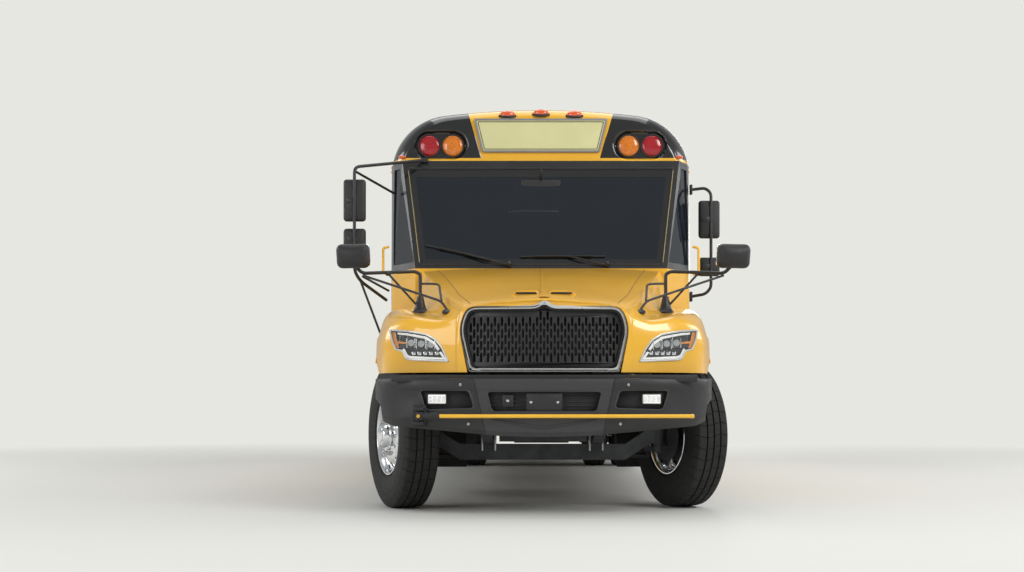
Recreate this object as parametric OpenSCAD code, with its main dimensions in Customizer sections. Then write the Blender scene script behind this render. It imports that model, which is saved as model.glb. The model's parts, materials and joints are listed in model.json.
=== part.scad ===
// School bus, conventional type: bonnet and fenders in one tilting piece, ladder frame, drop-centre
// front axle, twin rear wheels and a hollow steel body. +Z is up, -Y is forward, +X is the driver's side.
// The origin is on the floor, at the middle of the bus. Lengths are in millimetres.
// A "station" is a distance behind the foremost point of the bus; fy() turns it into Y.

/* [Overall] */
// Length over the crossing arm and the rear bumper
overall_len = 11560; // [10400:10:12800]
// Width of the body
body_w = 2438; // [2300:2:2600]
// Height of the roof's crown above the floor
roof_top = 3145; // [3060:5:3400]
// Distance from the front axle to the rear axle
wheelbase = 7010; // [6200:10:7600]
// Distance from the foremost point to the front axle
front_overhang = 1080; // [1080:5:1140]

/* [Wheels] */
// Radius of the tyres
tyre_r = 525; // [490:1:560]
// Width of one tyre
tyre_w = 280; // [240:1:300]
// Radius of the rim where the tyre sits
bead_r = 285; // [270:1:300]
// Distance from the bus's middle to a kingpin
kingpin_x = 845; // [830:1:900]
// Distance from a kingpin to the middle of its wheel
scrub = 180; // [170:1:200]
// Distance from the bus's middle to the inner face of the twin tyres
rear_inner_x = 570; // [550:1:590]
// Gap between twin tyres
twin_gap = 50; // [30:1:60]
// Angle that the front wheels are turned to as the bus is parked
steer_rest = 21; // [0:1:30]
// Clearance between a tyre and its wheel arch
arch_gap = 80; // [55:1:115]

/* [Body] */
// Thickness of walls and roof
wall_t = 45; // [35:1:60]
// Thickness of the floor
floor_t = 40; // [30:1:60]
// Height of the floor's top above the tyres
floor_rise = 80; // [60:5:200]
// Height of the skirt's lower edge
skirt_z = 560; // [480:5:620]
// Height where the walls end and the roof begins
wall_top = 2600; // [2560:5:2610]
// Length of the front section, from the cowl to the side walls
front_section = 640; // [590:5:690]
// Radius of the roof's corners
roof_corner_r = 480; // [400:5:520]
// Radius of the roof's crown
crown_r = 6500; // [5000:100:9000]
// Thickness of window glass
glass_t = 8; // [5:1:10]
// Gap round each pane
glass_gap = 2; // [1:0.5:4]

/* [Windows and seats] */
// Distance from one side window, and one seat row, to the next
row_pitch = 660; // [620:5:760]
// Length of a side window
window_len = 590; // [480:5:610]
// Height of the side windows' sills
sill_z = 1810; // [1700:5:1900]
// Height of the side windows' heads
head_z = 2470; // [2350:5:2520]
// Distance from the entrance doorway to the first passenger window
first_gap = 125; // [80:5:300]
// Width of a passenger bench
bench_w = 980; // [800:5:990]

/* [Doors] */
// Length of the entrance doorway
entry_len = 810; // [720:5:860]
// Thickness of a door leaf
leaf_t = 40; // [30:1:44]
// Clearance round a door leaf
door_gap = 5; // [4:1:8]
// Width of the rear door's opening
rear_door_w = 680; // [620:5:760]
// Side of a roof hatch's opening
hatch_size = 600; // [500:10:700]

/* [Front] */
// Half the width of the hood over its fenders
fender_x = 1185; // [1160:1:1200]
// Thickness of the hood's shell
hood_t = 30; // [20:1:36]
// Height of the bumper's top
bumper_top = 926; // [900:1:930]
// Height of the fender tops
fender_top = 1450; // [1420:5:1480]

/* [Hidden] */
$fn = 48;

half_w = body_w / 2;
front_y = -overall_len / 2;
axle_f = front_overhang;                 // station of the front axle
axle_r = front_overhang + wheelbase;     // station of the rear axle
rear_wall_end = overall_len - 60;        // station of the rear wall's outer face
rear_wall_start = rear_wall_end - wall_t;
arch_r = tyre_r + arch_gap;
twin_pitch = tyre_w + twin_gap;
rear_outer_x = rear_inner_x + tyre_w / 2 + twin_pitch;
floor_z = 2 * tyre_r + floor_rise;
floor_low = floor_z - floor_t;
cowl_b = axle_f + tyre_r + 205;          // station of the cowl's front wall, behind the steered wheels
side_start = cowl_b + front_section;
inner_w = half_w - wall_t;               // half-width inside the walls
corner_x = half_w - roof_corner_r;       // middle of a roof corner's arc
crown_z = roof_top - crown_r;            // middle of the crown's arc
corner_z = crown_z + sqrt(pow(crown_r - roof_corner_r, 2) - pow(corner_x, 2));
corner_turn = atan2(corner_z - crown_z, corner_x);
rail_outer = 430;
rail_w = 80;
rail_in = rail_outer - rail_w;
beam_low = tyre_r - 180;                 // front axle beam
beam_top = tyre_r - 65;
rail_low = beam_top + 160;
rail_high = rail_low + 260;
shaft_z = tyre_r + 10;                   // height of the drive shaft
gearbox_b = cowl_b - 110;                // stations of the gearbox
gearbox_end = cowl_b + 890;
rear_spring_x = [rear_inner_x - 124, rear_inner_x - 56];
kingpin_r = 25;
run_fit = 0.05;                          // radial clearance of a shaft that turns
spindle_r = 45;
rear_spindle_r = 50;
arm_len = 170;                           // steering arm, kingpin to ball joint
ball_r = 12;
entry_start = side_start + 35;           // station of the entrance's front edge
entry_end = entry_start + entry_len;
first_window = entry_end + first_gap;
rows = floor((rear_wall_start - first_window) / row_pitch);
entry_low = 400;
well_x = 560;                            // half-width where the stepwell ends
entry_top = 2480;
sill_in = 60;                            // frame of a door leaf round its glass
cowl_top = 1800;
header_z = 2690;                         // windshield's top frame, where the front cap starts
header_x = corner_x + sqrt(pow(roof_corner_r, 2) - pow(header_z - corner_z, 2));
hood_end = cowl_b - 16;
hood_low = rail_high + 80;
fender_low = 640;
exhaust_x = 200;
exhaust_z = rail_low + 80;
exhaust_r = 50;
exhaust_hole_r = exhaust_r + 12;
step_low = 390;                          // top of the lowest entrance step
wall_glass_in = 24;                      // how deep the side glass sits in the wall
rear_glass_in = 30;
rail_start = 129;                        // station of the rails' front ends, just behind the bumper
muffler_b = axle_r - 2600;               // station of the muffler's front end
muffler_len = 1000;
tank_b = axle_r - 3390;                  // station of the fuel tank's front end
tank_len = 1200;

function fy(b) = front_y + b;
function arc(cx, cy, r, a0, a1, n) =
    [for (i = [0 : n]) [cx + r * cos(a0 + (a1 - a0) * i / n), cy + r * sin(a0 + (a1 - a0) * i / n)]];

// Cross-section of the body, inset by t, down to z_low: straight sides, round corners, shallow crown
function low_turn(t, z_low) = z_low > corner_z ? asin((z_low - corner_z) / (roof_corner_r - t)) : 0;
function section(t, z_low) = concat(
    z_low < corner_z ? [[-(half_w - t), z_low], [half_w - t, z_low]] : [],
    arc(corner_x, corner_z, roof_corner_r - t, low_turn(t, z_low), corner_turn, 8),
    [for (i = [1 : 9]) let (a = corner_turn + (180 - 2 * corner_turn) * i / 10)
        [(crown_r - t) * cos(a), crown_z + (crown_r - t) * sin(a)]],
    arc(-corner_x, corner_z, roof_corner_r - t, 180 - corner_turn, 180 - low_turn(t, z_low), 8));

module along_y(b0, b1) translate([0, fy(b1), 0]) rotate([90, 0, 0]) linear_extrude(b1 - b0) children();
module along_x(x0, x1) translate([x0, front_y, 0]) rotate([90, 0, 90]) linear_extrude(x1 - x0) children();
module upward(z0, z1) translate([0, front_y, z0]) linear_extrude(z1 - z0) children();
module block(b0, b1, x0, x1, z0, z1) translate([x0, fy(b0), z0]) cube([x1 - x0, b1 - b0, z1 - z0]);
module rod_x(b, z, x0, x1, r) translate([x0, fy(b), z]) rotate([0, 90, 0]) cylinder(h = x1 - x0, r = r);
module rod_y(x, z, b0, b1, r) translate([x, fy(b1), z]) rotate([90, 0, 0]) cylinder(h = b1 - b0, r = r);
module rod_z(x, b, z0, z1, r) translate([x, fy(b), z0]) cylinder(h = z1 - z0, r = r);
module both_sides() { children(); mirror([1, 0, 0]) children(); }
module both_halves() union() { children(); mirror([1, 0, 0]) children(); }
// Round bar from p to q; points are [x, station, z]
module bar(p, q, r) {
    d = q - p;
    translate([p.x, fy(p.y), p.z]) rotate([0, acos(d.z / norm(d)), atan2(d.y, d.x)])
        cylinder(h = norm(d), r = r, $fn = 24);
}
// Round bars through a list of points, with a ball at each bend
module bent_bar(points, r) {
    for (i = [1 : len(points) - 1]) bar(points[i - 1], points[i], r);
    for (i = [1 : len(points) - 2]) translate([points[i].x, fy(points[i].y), points[i].z]) sphere(r + 4,
        $fn = 24);
}

// ---------- chassis ----------

module chassis_frame() color("dimgray") difference() {
    union() {
        both_sides() block(rail_start, rear_wall_end - 60, rail_in, rail_outer, rail_low, rail_high);
        for (b = [150, 430, 3300, 4500, axle_r - 2900, axle_r - 900, axle_r + 900, rear_wall_end - 130])
            block(b, b + 70, -rail_in, rail_in, rail_low + 70, rail_high - 20);
    }
    rod_y(exhaust_x, exhaust_z, side_start - 450, rear_wall_end, exhaust_r + 20);
}

// Half of the front axle seen from the front, from its middle out to the kingpin's eye: X, height
axle_half = [[0, beam_low], [600, beam_low], [790, tyre_r - 60], [kingpin_x, tyre_r - 60],
    [kingpin_x, tyre_r + 50], [780, tyre_r + 50], [600, beam_top], [0, beam_top]];
module front_axle() color("dimgray") both_halves() difference() {
    union() {
        along_y(axle_f - 40, axle_f + 40) polygon(axle_half);
        rod_z(kingpin_x, axle_f, tyre_r - 72, tyre_r + 72, 48);
    }
    rod_z(kingpin_x, axle_f, 300, 900, kingpin_r + run_fit);
}

module rear_axle() color("dimgray") union() {
    rod_x(axle_r, tyre_r, -rear_inner_x - 5, rear_inner_x + 5, 75);
    rod_y(0, tyre_r, axle_r - 130, axle_r + 130, 205);
    rod_y(0, tyre_r, axle_r - 360, axle_r - 120, 85);
    both_sides() {
        block(axle_r - 80, axle_r + 80, rear_spring_x[0] - 1, rear_spring_x[1] + 1, tyre_r, tyre_r + 110);
        rod_x(axle_r, tyre_r, rear_inner_x, rear_outer_x - 55, rear_spindle_r);
    }
}

spring_half = 640;                       // half a leaf spring's length, and where its shackles hang
spring_eye = 620;
// Side view of a leaf spring pack, thick at the axle and thin at its eyes
module spring_side(b, low, rise) polygon([
    for (s = [-1 : 0.2 : 1.01]) [b + s * spring_half, low + rise * s * s],
    for (s = [1 : -0.2 : -1.01]) [b + s * spring_half, low + rise * s * s + 52 - 34 * abs(s)]]);

module leaf_springs() color("dimgray") both_sides() {
    along_x(rail_in + 4, rail_outer - 2) {
        spring_side(axle_f, beam_top + 0.5, 90);
        for (s = [-1, 1]) translate([axle_f + s * spring_eye - 16, beam_top + 95])
            square([32, rail_low - beam_top - 95.5]);
    }
    along_x(rear_spring_x[0], rear_spring_x[1]) {
        spring_side(axle_r, tyre_r + 110.5, 60);
        for (s = [-1, 1]) translate([axle_r + s * spring_eye - 16, tyre_r + 175]) square([32, 120]);
    }
    for (s = [-1, 1])
        block(axle_r + s * spring_eye - 60, axle_r + s * spring_eye + 60, rail_outer + 0.5, rear_spring_x[1],
            tyre_r + 260, rail_high - 20);
}

module drive_shaft() color("gray") {
    rod_y(0, shaft_z, gearbox_end + 60, axle_r - 361, 52);
    rod_y(0, shaft_z, axle_r - 480, axle_r - 420, 75);
    rod_y(0, shaft_z, axle_r - 2890, axle_r - 2830, 90);
}

module engine() color("slategray") {
    block(gearbox_b - 940, gearbox_b, -310, 310, beam_top + 25, beam_top + 780);
    for (b = [gearbox_b - 900, gearbox_b - 140]) block(b, b + 80, -rail_in, rail_in, rail_low + 40,
        rail_low + 120);
    block(gearbox_b, gearbox_end, -210, 210, shaft_z - 85, shaft_z + 425);
    rod_y(0, shaft_z, gearbox_end - 1, gearbox_end + 59, 70);
}

module radiator() color("silver") block(430, 500, -330, 330, rail_high - 20, rail_high + 450);

module fuel_tank() color("silver") difference() {
    block(tank_b, tank_b + tank_len, -(half_w - 99), -rail_outer, rail_high - 450, rail_high - 20);
    for (b = [tank_b + 250, tank_b + tank_len - 250])
        block(b - 25, b + 25, -(half_w - 89), -rail_outer + 1, rail_high - 460, rail_high - 444);
}

module exhaust() color("darkgray") {
    rod_y(exhaust_x, exhaust_z, gearbox_end + 20, rear_wall_end + 20, exhaust_r);
    rod_y(exhaust_x, exhaust_z, muffler_b, muffler_b + muffler_len, 130);
}

// ---------- front wheels and steering; local +X points outward ----------

module at_kingpin(side) translate([side * kingpin_x, fy(axle_f), tyre_r])
    rotate([0, 0, steer_rest]) mirror([side < 0 ? 1 : 0, 0, 0]) children();
module at_front_wheel(side) at_kingpin(side) translate([scrub, 0, 0]) children();

module knuckle(side) color("dimgray") difference() {
    union() {
        at_kingpin(side) {
            for (z = [-125, 77]) {
                translate([0, 0, z]) cylinder(h = 48, r = 48);
                translate([0, -45, z]) cube([68, 90, 48]);
            }
            translate([50, -60, -125]) cube([18, 120, 250]);
            translate([0, 0, -130]) cylinder(h = 260, r = kingpin_r);
            translate([60, 0, 0]) rotate([0, 90, 0]) cylinder(h = scrub + 60, r = spindle_r);
            translate([55, 0, 0]) rotate([0, 90, 0]) cylinder(h = 12, r = 190);
            translate([-26, 0, -125]) cube([52, arm_len, 40]);
            translate([0, arm_len, -125]) cylinder(h = 40, r = 26);
        }
    }
    at_kingpin(side) translate([0, arm_len, -140]) cylinder(h = 70, r = ball_r + (side > 0 ? run_fit : 1));
}

// Ball joint of a steering arm: its place in the bus, as [x, station]
function ball_at(side) = [side * kingpin_x - arm_len * sin(steer_rest), axle_f + arm_len * cos(steer_rest)];

module tie_rod() color("dimgray") {
    rod_x(ball_at(1).y, tyre_r - 155, ball_at(-1).x, ball_at(1).x, 18);
    for (side = [-1, 1]) {
        rod_z(ball_at(side).x, ball_at(side).y, tyre_r - 176, tyre_r - 134, 26);
        rod_z(ball_at(side).x, ball_at(side).y, tyre_r - 150, tyre_r - 84, ball_r);
    }
}

// Half-section of a tyre: columns are radius and distance from the tyre's middle
module tyre_shape() rotate([0, 90, 0]) rotate_extrude($fn = 96) polygon([
    [bead_r, -0.36 * tyre_w], [bead_r + 20, -0.45 * tyre_w], [0.76 * tyre_r, -0.5 * tyre_w],
    [0.9 * tyre_r, -0.485 * tyre_w], [0.982 * tyre_r, -0.41 * tyre_w], [tyre_r, -0.36 * tyre_w],
    [tyre_r, 0.36 * tyre_w], [0.982 * tyre_r, 0.41 * tyre_w], [0.9 * tyre_r, 0.485 * tyre_w],
    [0.76 * tyre_r, 0.5 * tyre_w], [bead_r + 20, 0.45 * tyre_w], [bead_r, 0.36 * tyre_w]]);

module ring_x(x0, x1, r_in, r_out) translate([x0, 0, 0]) rotate([0, 90, 0]) difference() {
    cylinder(h = x1 - x0, r = r_out, $fn = 96);
    translate([0, 0, -1]) cylinder(h = x1 - x0 + 2, r = r_in, $fn = 96);
}

module front_rim() difference() {
    union() {
        ring_x(-0.37 * tyre_w, 0.37 * tyre_w, bead_r - 32, bead_r - 0.5);
        ring_x(55, 80, 60, bead_r - 30);
        translate([-104, 0, 0]) rotate([0, 90, 0]) cylinder(h = 165, r = 205);
        translate([50, 0, 0]) rotate([0, 90, 0]) cylinder(h = 110, r = 115);
    }
    translate([-110, 0, 0]) rotate([0, 90, 0]) cylinder(h = 250, r = spindle_r + run_fit);
}

module rear_rims() difference() {
    union() {
        for (x = [rear_outer_x, rear_outer_x - twin_pitch])
            translate([x, 0, 0]) ring_x(-0.37 * tyre_w, 0.37 * tyre_w, bead_r - 32, bead_r - 0.5);
        ring_x(rear_outer_x - twin_pitch + 0.3 * tyre_w, rear_outer_x - 0.3 * tyre_w, bead_r - 42,
            bead_r - 28);
        ring_x(rear_outer_x - twin_pitch / 2 - 15, rear_outer_x - twin_pitch / 2 + 15,
            rear_spindle_r + 10, bead_r - 35);
        translate([rear_inner_x + 70, 0, 0]) rotate([0, 90, 0])
            cylinder(h = rear_outer_x - twin_pitch / 2 - rear_inner_x - 70, r = 205);
        translate([rear_inner_x + 30, 0, 0]) rotate([0, 90, 0])
            cylinder(h = rear_outer_x - rear_inner_x - 10, r = 105);
    }
    translate([rear_inner_x + 20, 0, 0]) rotate([0, 90, 0])
        cylinder(h = rear_outer_x - rear_inner_x - 50, r = rear_spindle_r + run_fit);
}

module at_rear_wheels(side) translate([0, fy(axle_r), tyre_r]) mirror([side < 0 ? 1 : 0, 0, 0]) children();
module rear_tyres(side) color("#222222") at_rear_wheels(side)
    for (x = [rear_outer_x, rear_outer_x - twin_pitch]) translate([x, 0, 0]) tyre_shape();

// ---------- body ----------

module floor_pan() color("dimgray") difference() {
    union() {
        block(side_start + 10, rear_wall_start - 5, -(inner_w - 2), inner_w - 2, floor_low, floor_z);
        both_sides() block(gearbox_end + 60, rear_wall_end - 60, rail_in, rail_outer, rail_high, floor_low);
    }
    block(side_start - 10, entry_end + 16, -half_w, -well_x + 1, floor_low - 1, floor_z + 1);
}

step_rise = (floor_z - step_low) / 3;
step_run = (inner_w - 10 - well_x) / 3;
step_t = 30;
cheek_t = 14;                            // side plates of the stepwell
module entry_steps() color("dimgray") union() {
    for (i = [0 : 2]) {
        x0 = -(inner_w - 10) + i * step_run;
        x1 = x0 + step_run;
        z = step_low + i * step_rise;
        block(entry_start - cheek_t, entry_end + cheek_t, x0, x1, z - step_t, z);
        block(entry_start - cheek_t, entry_end + cheek_t, x1 - 15, x1, z - step_t, z + step_rise - 1);
    }
    for (b = [entry_start - cheek_t, entry_end])
        block(b, b + cheek_t, -(inner_w - 10), -well_x, step_low - step_t, floor_low - 1);
}

// Plans of the front section below the fender tops, at its sill and at its header: half-width, station
low_plan = [[fender_x - 6, cowl_b], [half_w, cowl_b + 240], [half_w, side_start]];
sill_plan = [[half_w - 239, cowl_b], [half_w - 29, cowl_b + 350], [half_w, side_start - 50], [half_w,
    side_start]];
header_plan = [[half_w - 114, cowl_b + 300], [half_w - 34, cowl_b + 460], [header_x, side_start - 50],
    [header_x, side_start]];
function last_x(p) = p[len(p) - 1].x;
function inset_plan(p, t, back) = concat([for (q = p) [q.x - t, min(q.y + t, side_start)]],
    back > 0 ? [[last_x(p) - t, side_start + back]] : []);
function whole_plan(p) = concat(p, [for (i = [len(p) - 1 : -1 : 0]) [-p[i].x, p[i].y]]);

module front_shell(t, z0, z1, back) {
    upward(z0, fender_top) polygon(whole_plan(inset_plan(low_plan, t, back)));
    upward(fender_top - 1, cowl_top) polygon(whole_plan(inset_plan(sill_plan, t, back)));
    hull() {
        upward(cowl_top - 1, cowl_top) polygon(whole_plan(inset_plan(sill_plan, t, back)));
        upward(z1 - 1, z1) polygon(whole_plan(inset_plan(header_plan, t, back)));
    }
}

tunnel_x = 905;                          // half-width of the opening over the gearbox
// A pane in the windshield's plane; pillar_in is the width of the pillar beside it
pillar_in = 36;
function climb(z) = (z - cowl_top) / (header_z - cowl_top);
function slope_b(z) = cowl_b + (header_plan[0].y - cowl_b) * climb(z);
function slope_x(z, edge) = sill_plan[0].x - edge + (header_plan[0].x - sill_plan[0].x) * climb(z);
module windshield_pane(grow, in0, in1) hull() for (z = [cowl_top + 30 - grow, header_z - 60 + grow])
    block(slope_b(z) + in0, slope_b(z) + in1, -slope_x(z, pillar_in) - grow, slope_x(z, pillar_in) + grow,
        z - 0.5, z + 0.5);

// Corner pane between the A-pillar and the side, as a slab between two plan lines
module corner_pane(grow, in0, in1) {
    z0 = cowl_top + 60 - grow;
    z1 = header_z - 60 + grow;
    hull() {
        upward(z0 - 0.5, z0) polygon(pane_line(sill_plan, in0, in1, grow));
        upward(z1 - 0.5, z1) polygon(pane_line(header_plan, in0, in1, grow));
    }
}
// Strip in plan beside the line from a plan's first point to its second, kept clear of both ends
function pane_line(p, in0, in1, grow) = let (a = p[0], c = p[1], d = (c - a) / norm(c - a), n = [-d.y, d.x],
    a1 = a + d * (40 - grow), c1 = c - d * (22 - grow)) [a1 + n * in0, c1 + n * in0, c1 + n * in1,
        a1 + n * in1];

module front_body() color("gold") difference() {
    front_shell(0, skirt_z, header_z, 0);
    front_shell(wall_t - 5, skirt_z - 50, header_z + 1, 50);
    block(cowl_b - 50, side_start + 50, -tunnel_x, tunnel_x, skirt_z - 50, floor_low - 5);
    windshield_pane(glass_gap, -60, 90);
    both_sides() corner_pane(glass_gap, -60, 90);
}

module windshield() color("#223344") windshield_pane(0, 8, 8 + glass_t);

// Slice of the front cap: the body's section, narrowed by kx and lowered by kz above the header
function cap_slice(t, kx, kz) = [for (p = section(t, header_z)) [p.x * kx, header_z + (p.y - header_z) * kz]];
// The cap's slices, as [station, kx, kz]
cap_b = cowl_b + 310;
cap_steps = [[cap_b, 0.895, 0.80], [cap_b + 60, 0.955, 0.90], [cap_b + 170, 0.988, 0.965],
    [side_start - 1, 1, 1]];
module cap_solid(t, push) hull() for (s = cap_steps)
    along_y(min(s[0] + push, side_start - 1), min(s[0] + push, side_start - 1) + 1)
        polygon([for (p = cap_slice(t, s[1], s[2])) [p.x, p.y]]);
warn_lamp_x = [710, 900];
warn_lamp_z = 2820;
warn_lamp_r = 89;
module front_cap() color("gold") difference() {
    cap_solid(0, 0);
    translate([0, 0, -0.5]) cap_solid(38, 45);
    both_sides() for (x = warn_lamp_x) rod_y(x, warn_lamp_z, cap_b - 70, cap_b + 30, warn_lamp_r + 4);
}

stop_b = 3560;                           // station and height of the stop arm's hinge
stop_z = 1560;
hinge_pin_r = 8;
function window_b(i) = first_window + i * row_pitch;
driver_window = [side_start + 90, side_start + 800, sill_z - 60]; // stations from, to and sill height
module side_wall(right) difference() {
    union() {
        block(side_start, rear_wall_start, inner_w, half_w, skirt_z, wall_top);
        if (!right) for (s = [-1, 1])
            block(stop_b - 15, stop_b + 15, half_w - 1, half_w + 46, stop_z + s * 105 - 10,
                stop_z + s * 105 + 10);
    }
    if (!right) rod_z(half_w + 30, stop_b, stop_z - 130, stop_z + 130, hinge_pin_r + run_fit);
    for (i = [0 : rows - 1])
        block(window_b(i), window_b(i) + window_len, inner_w - 1, half_w + 1, sill_z, head_z);
    rod_x(axle_r, tyre_r, inner_w - 1, half_w + 1, arch_r);
    if (right) block(entry_start, entry_end, inner_w - 1, half_w + 1, skirt_z - 1, entry_top + 5);
    else block(driver_window[0], driver_window[1], inner_w - 1, half_w + 1, driver_window[2], head_z);
}

hatch_b = [side_start + 2050, side_start + 5850];
module roof() color("gold") difference() {
    along_y(side_start, rear_wall_start) polygon(section(0, wall_top));
    along_y(side_start - 1, rear_wall_start + 1) polygon(section(wall_t, wall_top - 1));
    for (b = hatch_b) block(b, b + hatch_size, -hatch_size / 2, hatch_size / 2, roof_top - 300,
        roof_top + 10);
}

// Lid over a hatch opening, hinged at its front edge
hatch_lap = 30;
module roof_hatch(b) color("gold") difference() {
    block(b - hatch_lap, b + hatch_size + hatch_lap, -hatch_size / 2 - hatch_lap, hatch_size / 2 + hatch_lap,
        roof_top + 6, roof_top + 46);
    block(b + 10, b + hatch_size - 10, -hatch_size / 2 + 10, hatch_size / 2 - 10, roof_top + 5,
        roof_top + 30);
}

rear_door_z = [floor_z + 5, 2705];
rear_pane = [rear_door_w / 2 + 100, half_w - 139, 1850, 2480]; // half-width from, to, height from, to
module rear_wall() color("gold") difference() {
    along_y(rear_wall_start, rear_wall_end) polygon(section(0, skirt_z));
    block(rear_wall_start - 1, rear_wall_end + 1, -rear_door_w / 2, rear_door_w / 2, rear_door_z[0],
        rear_door_z[1]);
    both_sides() block(rear_wall_start - 1, rear_wall_end + 1, rear_pane[0], rear_pane[1], rear_pane[2],
        rear_pane[3]);
    rod_y(exhaust_x, exhaust_z, rear_wall_start - 1, rear_wall_end + 1, exhaust_hole_r);
}

// Heights of the rear door's panes
door_panes = [[floor_z + 650, rear_door_z[1] - 145], [floor_z + 160, floor_z + 530]];
door_frame = 100;                        // frame of the rear door beside its glass
module rear_door() color("gold") difference() {
    block(rear_wall_start + 2, rear_wall_end - 3, -rear_door_w / 2 + door_gap, rear_door_w / 2 - door_gap - 2,
        rear_door_z[0] + door_gap, rear_door_z[1] - door_gap);
    for (p = door_panes)
        block(rear_wall_start, rear_wall_end, -rear_door_w / 2 + door_frame,
            rear_door_w / 2 - door_frame, p[0], p[1]);
}
module rear_door_glass() color("#223344") for (p = door_panes)
    block(rear_wall_end - rear_glass_in, rear_wall_end - rear_glass_in + glass_t,
        -rear_door_w / 2 + door_frame + glass_gap, rear_door_w / 2 - door_frame - glass_gap,
        p[0] + glass_gap, p[1] - glass_gap);

module body_windows() color("#223344") {
    both_sides() {
        corner_pane(0, 8, 8 + glass_t);
        for (i = [0 : rows - 1])
            block(window_b(i) + glass_gap, window_b(i) + window_len - glass_gap,
                half_w - wall_glass_in, half_w - wall_glass_in + glass_t, sill_z + glass_gap,
                    head_z - glass_gap);
        block(rear_wall_end - rear_glass_in, rear_wall_end - rear_glass_in + glass_t,
            rear_pane[0] + glass_gap, rear_pane[1] - glass_gap, rear_pane[2] + glass_gap,
                rear_pane[3] - glass_gap);
    }
    block(driver_window[0] + glass_gap, driver_window[1] - glass_gap, half_w - wall_glass_in,
        half_w - wall_glass_in + glass_t, driver_window[2] + glass_gap, head_z - glass_gap);
}

// Entrance leaves swing outward about their outer edges; the leaves meet in the middle
leaf_len = (entry_len - 2 * door_gap - 10) / 2;
leaf_start = [entry_start + door_gap, entry_end - door_gap - leaf_len];
leaf_panes = [[700, 1380], [1470, 2390]];
module entry_leaf(i) color("gold") difference() {
    block(leaf_start[i], leaf_start[i] + leaf_len, -half_w, -half_w + leaf_t, entry_low, entry_top);
    for (p = leaf_panes)
        block(leaf_start[i] + sill_in, leaf_start[i] + leaf_len - sill_in, -half_w - 1,
            -half_w + leaf_t + 1, p[0], p[1]);
}
module entry_glass(i) color("#223344") for (p = leaf_panes)
    block(leaf_start[i] + sill_in + glass_gap, leaf_start[i] + leaf_len - sill_in - glass_gap,
        -half_w + 16, -half_w + 16 + glass_t, p[0] + glass_gap, p[1] - glass_gap);

// ---------- hood and what it carries ----------

// Slices of the hood's middle: station, half-width, height
hood_slices = [[160, 540, 1360], [240, 560, 1430], [900, 760, 1630], [hood_end, sill_plan[0].x - 55,
    cowl_top - 20]];
// Front edge of the fenders in plan: half-width, station
fender_plan = [[1, 150], [560, 178], [760, 235], [930, 320], [1070, 430], [1150, 560], [fender_x, 760]];

fender_drop = axle_f + 320;              // station where the fender's lower edge turns down
module hood_middle(t, back, down) hull() for (s = hood_slices)
    block(min(s[0] + t, hood_end + back - 1), (s[0] == hood_end ? hood_end + back : s[0] + t + 1),
        -(s[1] - t), s[1] - t, hood_low - down, s[2] - t);

module fender_block(t, back, down) intersection() {
    upward(fender_low - down, fender_top - t) polygon(whole_plan(concat(
        [for (p = fender_plan) [max(p.x - t, 0), p.y + t]], [[fender_x - t, hood_end + back]])));
    along_x(-fender_x, fender_x) polygon([[100 + t, hood_low - down], [100 + t, 1290 - t], [430 + t,
        fender_top - t],
        [hood_end + back, fender_top - t], [hood_end + back, fender_low - down],
        [fender_drop + 160, fender_low - down], [fender_drop, hood_low - down]]);
}

// Outline of the grille's bright surround: half-width and height, from the bottom, with a low peak on top
grille_half = [[508, 985], [578, 1262], [524, 1400], [60, 1408], [0, 1440]];
module grille_outline(t) offset(delta = -t) polygon(concat(grille_half,
    [for (i = [3 : -1 : 0]) [-grille_half[i].x, grille_half[i].y]]));

// Outline of a headlamp seen from the front
lamp_outline = [[1060, 1265], [932, 1254], [793, 1228], [724, 1188], [679, 1130], [636, 1034], [911, 1048],
    [942, 1058], [967, 1110], [1016, 1120], [1045, 1183]];
module lamp_band(t0, t1, grow) both_sides() intersection() {
    along_y(100, 900) offset(delta = grow) polygon(lamp_outline);
    upward(1000, 1300) polygon(concat([for (p = fender_plan) [p.x - t0, p.y + t0]],
        [for (i = [len(fender_plan) - 1 : -1 : 0]) [fender_plan[i].x - t1, fender_plan[i].y + t1]]));
}

module hood() color("gold") difference() {
    union() { hood_middle(0, 0, 0); fender_block(0, 0, 0); }
    hood_middle(hood_t, 60, 60);
    fender_block(hood_t, 60, 60);
    block(1350, hood_end + 10, -(fender_x - hood_t), fender_x - hood_t, fender_low - 10, hood_low + 60);
    both_sides() rod_x(axle_f, tyre_r, 560, half_w + 50, arch_r);
    along_y(100, 420) grille_outline(-glass_gap);
    lamp_band(-60, 80, glass_gap);
}
module grille_surround() color("silver") along_y(160,
    215) difference() { grille_outline(0); grille_outline(36); }
module grille() color("#202020") along_y(180, 196) difference() {
    grille_outline(37);
    for (i = [-10 : 10]) if (abs(i) > 0) translate([i * 44 - 11, 1040]) square([22, 290]);
}
module headlamps() color("whitesmoke") lamp_band(4, 60, 0);

module fender_mirror() {
    translate([870, fy(770), fender_top + 0.5]) cylinder(h = 110, r1 = 62, r2 = 30);
    bent_bar([[870, 770, fender_top + 90], [870, 770, 1670], [905, 755, 1690], [1290, 640, 1650], [1345,
        620, 1700]], 12);
    bar([1280, 645, 1655], [700, 420, 1500], 9);
    translate([1345, fy(640), 1770]) rotate([90, 0, 0]) rotate_extrude($fn = 48)
        polygon([[0, -30], [50, -30], [106, 0], [106, 20], [80, 45], [40, 60], [0, 66]]);
}
module fender_mirrors() color("#202020") both_sides() union() fender_mirror();

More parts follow.
